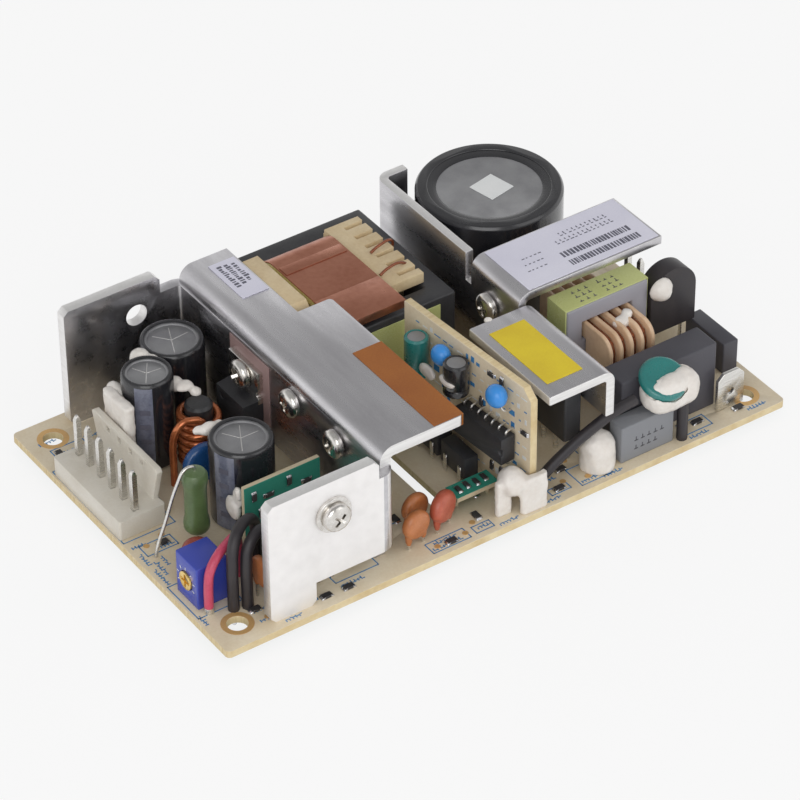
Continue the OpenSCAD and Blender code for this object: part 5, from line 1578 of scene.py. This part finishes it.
@dataclass
class OutputSide:
    """The output header, choke, resistor, discs, trimmer, leads and sense board."""

    rod: tuple[float, float] = (24.5, 47.5)
    rod_d: float = 5.4
    rod_top: float = 15.2
    wire_d: float = 1.5
    turns: int = 7
    steps: int = 16
    pitch: float = 3.96
    pin_w: float = 1.14
    pin_h: float = 13.5

    def build(self) -> None:
        """Builds the parts on the output side."""
        self.headers()
        self.choke()
        self.resistor()
        self.discs()
        self.trimmer()
        self.leads()
        self.sense_board()

    def headers(self) -> None:
        """Both headers with tapered pins."""
        for node in ("output_header_base", "ac_header_base"):
            stand(dress(shell_of(node, 0.3, 2), Paint.NYLON), "nylon", node)
        half = self.pin_w / 2
        pin = block("pin", mm(-half, -half, 0), mm(half, half, self.pin_h - 1.1))
        with editing(pin, lambda centre, out: out.z > 0.9):
            bpy.ops.mesh.extrude_region_move(TRANSFORM_OT_translate={"value": (0, 0, 1.1 * MM)})
            bpy.ops.transform.resize(value=(0.42, 0.42, 1))
        soften(pin, 0.06, 1)
        output = [copied(pin, at(4.9, 39.2 + k * self.pitch)) for k in range(6)]
        mains = [copied(pin, at(120.6, 34.1 + k * self.pitch)) for k in range(3)]
        discard(pin)
        stand(dress(join("output_pins", output), Paint.TIN), "steel", "output_header_pins")
        stand(dress(join("mains_pins", mains), Paint.TIN), "steel", "ac_header_pins")

    def choke(self) -> None:
        """The rod and its winding, the end lead arching down beside it."""
        x, y = self.rod
        r = self.rod_d / 2
        profile = [(0, 0), (r, 0), (r, self.rod_top - 0.5), (r - 0.5, self.rod_top), (0, self.rod_top)]
        rod = placed(turned("choke_rod", profile, 40), at(x, y))
        stand(dress(rod, Paint.ROD), "rod", "output_choke_core")
        pitch = self.wire_d + 0.25
        reach = r + 0.15 + self.wire_d / 2
        route = [at(x + reach, y, 0)]
        for k in range(round((self.turns - 0.3) * self.steps) + 1):
            turn = 2 * math.pi * k / self.steps
            high = 1.6 + k * pitch / self.steps
            route.append(at(x + reach * math.cos(turn), y + reach * math.sin(turn), high))
        top = 1.6 + self.turns * pitch
        tail = (
            (20, 44.6, top + 0.7), (18.6, 44.8, top), (17.7, 45.2, top - 1.8), (17.4, 45.6, 9),
            (17.4, 45.6, 5),
        )
        route += [at(*p) for p in tail] + [at(17.4, 45.6, 0)]
        coil = wire("choke_coil", route, self.wire_d / 2, 2, 3)
        stand(dress(coil, Paint.COIL_WIRE), "copper", "output_choke_winding")

    def resistor(self) -> None:
        """The upright resistor with its swollen ends and the bare lead led back down."""
        low, top, r = 3.0, 17.0, 2.5
        half = [
            (0, 0), (r * 0.45, 0), (r * 0.8, 0.25), (r * 0.97, 0.9), (r, 1.8), (r * 0.95, 2.8),
            (r * 0.86, 3.7),
        ]
        profile = [(a, low + b) for a, b in half] + [(a, top - b) for a, b in reversed(half)]
        body = placed(turned("resistor_body", profile, 40), at(12, 29))
        stand(dress(body, Paint.OLIVE), "green_body", "axial_resistor")
        route = (
            (12, 29, 16.5), (12, 29, 17.4), (11.3, 29, 18.1), (10, 29.1, 17.9), (8.6, 29.2, 15.6),
            (5.6, 29.6, 7), (4, 29.8, 2.4), (3.4, 29.8, 0),
        )
        foot = ((12, 29, 0), (12, 29, 1.6), (12, 29, 3.2))
        leads = [wire("resistor_lead", [at(*p) for p in path], 0.35) for path in (route, foot)]
        stand(dress(join("resistor_leads", leads), Paint.TIN), "steel", "axial_resistor")

    def discs(self) -> None:
        """The dipped discs, each with its coat run down to its leads."""
        rows = (
            ("orange_discs", Paint.ORANGE_DIP, "orange_disc", "ceramic_discs",
             ((44.4, 5.2, 5, 3, 2.4, 8), (47.6, 10.2, 4.2, 3, 2.2, 8), (12.9, 8.2, 7, 3.2, 1.6, 90))),
            ("red_disc", Paint.RED_DIP, "orange_disc", "ceramic_discs", ((51.4, 6.6, 5, 3.3, 2.6, 22),)),
            ("red_brown_disc", Paint.RED_BROWN, "red_brown", "red_ceramic", ((8.7, 23.5, 3.4, 3, 2.3, -34),)),
            ("blue_disc", Paint.SKY_SLEEVE, "blue_dip", "filter_disc", ((20.5, 40.1, 7.6, 4.3, 2.3, 0),)),
        )
        leads = []
        for name, finish, slot, node, places in rows:
            parts = []
            for x, y, high, radius, thick, degrees in places:
                turn = math.radians(degrees)
                parts.append(placed(puffy(name, radius, thick), at(x, y, high), (0, 0, turn)))
                for side in (-1, 1):
                    step = side * radius * 0.6
                    foot = (x + step * math.cos(turn), y + step * math.sin(turn))
                    neck = high - radius * 0.8
                    run = [(0, -1.5), (0.4, -1.5), (0.62, -0.8), (0.75, 0.4), (0.7, 1.2), (0, 1.2)]
                    parts.append(placed(turned("coat_run", run, 16), at(*foot, neck)))
                    leads.append(
                        wire("disc_lead", [at(*foot, 0), at(*foot, neck / 2), at(*foot, neck)], 0.33, 2, 1)
                    )
            stand(dress(join(name, parts), finish), slot, node)
        stand(dress(join("disc_leads", leads), Paint.TIN), "steel")

    def trimmer(self) -> None:
        """The trimmer's housing with its dial ticks, and the slotted rotor on its own body."""
        housing = shell_of("trimmer_housing", 0.2, 2)
        stand(dress(housing, Paint.BLUE_HOUSING), "blue_housing", "trimmer_housing")
        ticks = []
        for k in range(-3, 4):
            tick = block("dial", mm(-0.06, -0.1, 2.4), mm(0.05, 0.1, 3.0))
            ticks.append(placed(tick, at(1.8, 16.516, 4.512), (math.radians(38 * k), 0, 0)))
        stand(dress(join("dial_ticks", ticks), Paint.WHITE_PRINT), "blue_housing")
        rotor = shell_of("trimmer_rotor", 0.06, 2)
        stand(dress(rotor, Paint.BRASS), "brass_rotor", "trimmer_rotor", body=Body.ROTOR)

    def leads(self) -> None:
        """The red sleeved lead and the two black ones behind the front ear."""
        red = (
            (3.2, 11.2, 1.3), (3.2, 11.2, 3), (3.3, 11.2, 6.5), (3.8, 11.3, 9.2), (5.6, 11.9, 11.2),
            (8.6, 13.2, 12), (11.4, 15, 11.2), (13, 16.6, 8.6), (13.4, 17, 5), (13.4, 17, 0),
        )
        sleeve = wire("red_sleeve", [at(*p) for p in red], 0.9)
        stand(dress(sleeve, Paint.PINK_SLEEVE), "pink_sleeve", "red_lead")
        foot = turned("red_lead_foot", [(0, 0), (0.95, 0), (0.98, 0.6), (0.8, 1.4), (0, 1.5)], 24)
        stand(dress(placed(foot, at(3.2, 11.2)), Paint.TIN), "steel")
        routes = (
            ((7.3, 9.4, 0), (7.3, 9.4, 5), (7.4, 9.5, 10), (8, 10, 13.4), (10, 11.4, 15.6), (13, 13.2, 15.6),
             (15.4, 14.6, 13.2), (16, 15, 9), (16, 15, 4), (16, 15, 0)),
            ((9.8, 8.6, 0), (9.8, 8.6, 5), (9.9, 8.7, 10), (10.6, 9.1, 13), (12.6, 9.9, 14.6),
             (15.2, 10.8, 14.2), (17, 11.4, 11.6), (17.4, 11.6, 8), (17.4, 11.6, 4), (17.4, 11.6, 0)),
        )
        tubes = [wire("black_sleeve", [at(*p) for p in route], 1.1) for route in routes]
        stand(dress(join("black_sleeves", tubes), Paint.BLACK_SLEEVE), "black_sleeve", "black_leads")

    def sense_board(self) -> None:
        """The small green board with bare edges and chip parts on both faces."""
        board = dress(shell_of("sense_board", 0.06, 1), Paint.GREEN_BOARD)
        paint(board, Paint.GREEN_RAW, lambda place, out: abs(out.y) < 0.5)
        stand(board, "green_board", "sense_board")
        low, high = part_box("sense_board")
        a, b = local(low), local(high)
        chips = ChipParts("sense_chips", (1.7, 0.95, 0.5), 0.34)
        spots = (
            (2.0, 13.4), (5.2, 12.6), (9.6, 13.8), (13.4, 12.2), (3.4, 9.0), (8.0, 9.6), (12.6, 8.4),
            (4.6, 4.6),
        )
        for k, (x, z) in enumerate(spots):
            chips.add_standing(at(a.x + x, a.y - 0.02, z), math.pi / 2, (k % 2) * math.pi / 2)
            if k % 2:
                chips.add_standing(at(a.x + x, b.y + 0.02, z), -math.pi / 2, 0.0)
        chips.finish("green_board")


# ---------------------------------------------------------------- silicone


@dataclass
class Silicone:
    """The white silicone that holds parts to each other."""

    grain: float = 0.32

    def build(self) -> None:
        """Builds the beads and the smaller dabs."""
        beads = shell_of("adhesive_beads", 0.0)
        beads.name = "silicone_beads"
        stand(dress(self.soft(beads, 0.5), Paint.SILICONE), "silicone", "adhesive_beads")
        self.dabs()

    def soft(self, piece: Thing, rough: float) -> Thing:
        """Turns hard solids into a lumpy mass of soft silicone."""
        modify(piece, "REMESH", mode="VOXEL", voxel_size=self.grain * MM, adaptivity=0.0)
        modify(piece, "SMOOTH", iterations=6, factor=0.5)
        lumps = bpy.data.textures.get("silicone_lumps") or bpy.data.textures.new("silicone_lumps", "CLOUDS")
        lumps.noise_scale = 2.2 * MM
        modify(piece, "DISPLACE", texture=lumps, texture_coords="LOCAL", strength=rough * MM, mid_level=0.5)
        return smooth(piece, 80)

    def dabs(self) -> None:
        """Dabs on the header lock, the capacitors, the choke and the bracket."""
        eggs = (
            (13.4, 58.6, 16.0, 1.5, 2.4, 1.3), (12.6, 56.4, 14.2, 0.9, 2.8, 1.6),
            (20.4, 61.2, 18.6, 2.0, 2.2, 2.0), (22.3, 59.6, 18.2, 1.3, 1.5, 1.4),
            (
                24.0, 51.6, 16.6, 1.9, 1.5, 0.9,
            ), (23.2, 53.6, 16.2, 1.7, 1.9, 1.4), (25.6, 50.2, 15.4, 1.2, 1.2, 0.8),
            (
                20.8, 37.8, 17.0, 2.2, 1.2, 1.3,
            ), (18.9, 38.4, 17.0, 1.4, 0.8, 0.9), (22.8, 38.1, 16.2, 1.6, 1.0, 1.6),
            (17.6, 25.2, 8.2, 0.9, 2.4, 2.6), (
                18.0, 23.8, 11.4, 0.8, 1.5, 2.2,
            ), (17.2, 22.6, 13.2, 0.7, 1.0, 1.5),
            (76.3, 27.3, 24.2, 0.9, 0.9, 0.7), (
                102.6, 20.6, 16.6, 2.0, 1.4, 1.1,
            ), (104.6, 21.6, 17.3, 1.2, 1.2, 0.9),
            (62.3, 27.2, 18.4, 0.9, 2.6, 1.5), (62.0, 20.4, 20.6, 1.2, 2.4, 0.9),
            (
                100.4, 1.9, 14.0, 4.5, 2.5, 2.6,
            ), (97.4, 2.4, 13.8, 2.2, 1.9, 1.9), (103.4, 2.6, 14.8, 2.0, 1.7, 1.8),
        )
        parts = [ball("dab", at(x, y, z), (a * MM, b * MM, c * MM), 10) for x, y, z, a, b, c in eggs]
        whole = self.soft(join("silicone_dabs", parts), 0.45)
        stand(dress(whole, Paint.SILICONE), "silicone")


# ---------------------------------------------------------------- studio


@dataclass
class Studio:
    """The camera, the floor, the lamps and the world."""

    place: tuple[float, float, float] = (-0.34308, -0.50433, 0.48587)
    azimuth: float = math.radians(34.225)
    elevation: float = math.radians(38.21)
    roll: float = math.radians(-0.502)
    lens: float = 183.4
    floor_size: float = 3.0
    key_energy: float = 5.0
    fill_energy: float = 2.2
    low_sky: float = 1.05
    high_sky: float = 0.42

    def build(self) -> None:
        """Sets the camera and lights the scene."""
        self.camera()
        self.floor()
        self.world()
        self.lamp("key", Vector((-0.75, -0.85, 0.75)), 0.9, self.key_energy)
        self.lamp("fill", Vector((0.55, -0.9, 0.8)), 0.9, self.fill_energy)
        bpy.context.scene.view_settings.view_transform = "Standard"

    def camera(self) -> None:
        """The camera at the viewing angle."""
        data = bpy.data.cameras.new("camera")
        data.lens = self.lens
        data.sensor_width = 36
        camera = bpy.data.objects.new("camera", data)
        bpy.context.scene.collection.objects.link(camera)
        flat = math.cos(self.elevation)
        ahead = Vector(
            (math.sin(self.azimuth) * flat, math.cos(self.azimuth) * flat, -math.sin(self.elevation))
        )
        right = ahead.cross(Vector((0, 0, 1))).normalized()
        up = right.cross(ahead)
        axes = Matrix((right, up, -ahead)).transposed() @ Matrix.Rotation(self.roll, 3, "Z")
        camera.matrix_world = Matrix.Translation(self.place) @ axes.to_4x4()
        bpy.context.scene.camera = camera

    def floor(self) -> None:
        """A plain pale floor under the lowest point, which keeps the shadow."""
        low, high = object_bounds()
        deselect()
        bpy.ops.mesh.primitive_plane_add(size=self.floor_size, location=(0, 0, low.z))
        floor = settle(bpy.context.object, "floor")
        material = bpy.data.materials.new("pale_floor")
        material.use_nodes = True
        graph = Graph(material.node_tree)
        shader = next(n for n in graph.tree.nodes if n.type == "BSDF_PRINCIPLED")
        out = next(n for n in graph.tree.nodes if n.type == "OUTPUT_MATERIAL")
        shader.inputs["Base Color"].default_value = opaque((0.9, 0.9, 0.9))
        shader.inputs["Roughness"].default_value = 0.9
        glow = graph.add("Emission", {"Color": opaque((1, 1, 1)), "Strength": 1.0})
        path = graph.add("LightPath")
        seen = graph.math("MAXIMUM", path.outputs["Is Camera Ray"], path.outputs["Is Glossy Ray"])
        seen = graph.math("MAXIMUM", seen, path.outputs["Is Transmission Ray"])
        mixed = graph.add(
            "MixShader", {0: graph.math("MULTIPLY", seen, 0.82), 1: shader.outputs[0], 2: glow.outputs[0]},
        )
        graph.tree.links.new(mixed.outputs[0], out.inputs["Surface"])
        floor.data.materials.append(material)
        floor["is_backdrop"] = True

    def world(self) -> None:
        """A soft sky, bright near the horizon and greyer above; the camera sees it white."""
        world = bpy.data.worlds.new("studio")
        bpy.context.scene.world = world
        world.use_nodes = True
        graph = Graph(world.node_tree)
        backdrop = next(n for n in graph.tree.nodes if n.type == "BACKGROUND")
        out = next(n for n in graph.tree.nodes if n.type == "OUTPUT_WORLD")
        place = graph.add("TexCoord").outputs["Generated"]
        height = graph.add("SeparateXYZ", {0: place}).outputs[2]
        level = graph.range(height, 0.12, 0.6, self.low_sky, self.high_sky)
        graph.tree.links.new(level, backdrop.inputs["Strength"])
        backdrop.inputs["Color"].default_value = opaque((1, 1, 1))
        white = graph.add("Background", {"Color": opaque((1, 1, 1)), "Strength": 1.0})
        path = graph.add("LightPath")
        seen = path.outputs["Is Camera Ray"]
        mixed = graph.add("MixShader", {0: seen, 1: backdrop.outputs[0], 2: white.outputs[0]})
        graph.tree.links.new(mixed.outputs[0], out.inputs["Surface"])

    def lamp(self, name: str, place: Vector, size: float, energy: float) -> None:
        """A soft square lamp that looks at the object."""
        data = bpy.data.lights.new(name, "AREA")
        data.size = size
        data.energy = energy
        lamp = bpy.data.objects.new(name, data)
        bpy.context.scene.collection.objects.link(lamp)
        lamp.location = place
        lamp.rotation_euler = (-place).to_track_quat("-Z", "Y").to_euler()


def main() -> None:
    """Builds the power supply and lights it."""
    logging.basicConfig(level=logging.INFO, format="%(message)s")
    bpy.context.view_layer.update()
    Studio().build()
    for kind in (
        BoardWorks, OutputSink, Transformer, PrimarySink, Capacitors, LineFilter,
        MiddleBracket, ControlBoard, OutputSide, Silicone,
    ):
        log.info("building %s", kind.__name__)
        kind().build()
    deselect()


if __name__ == "__main__":
    main()
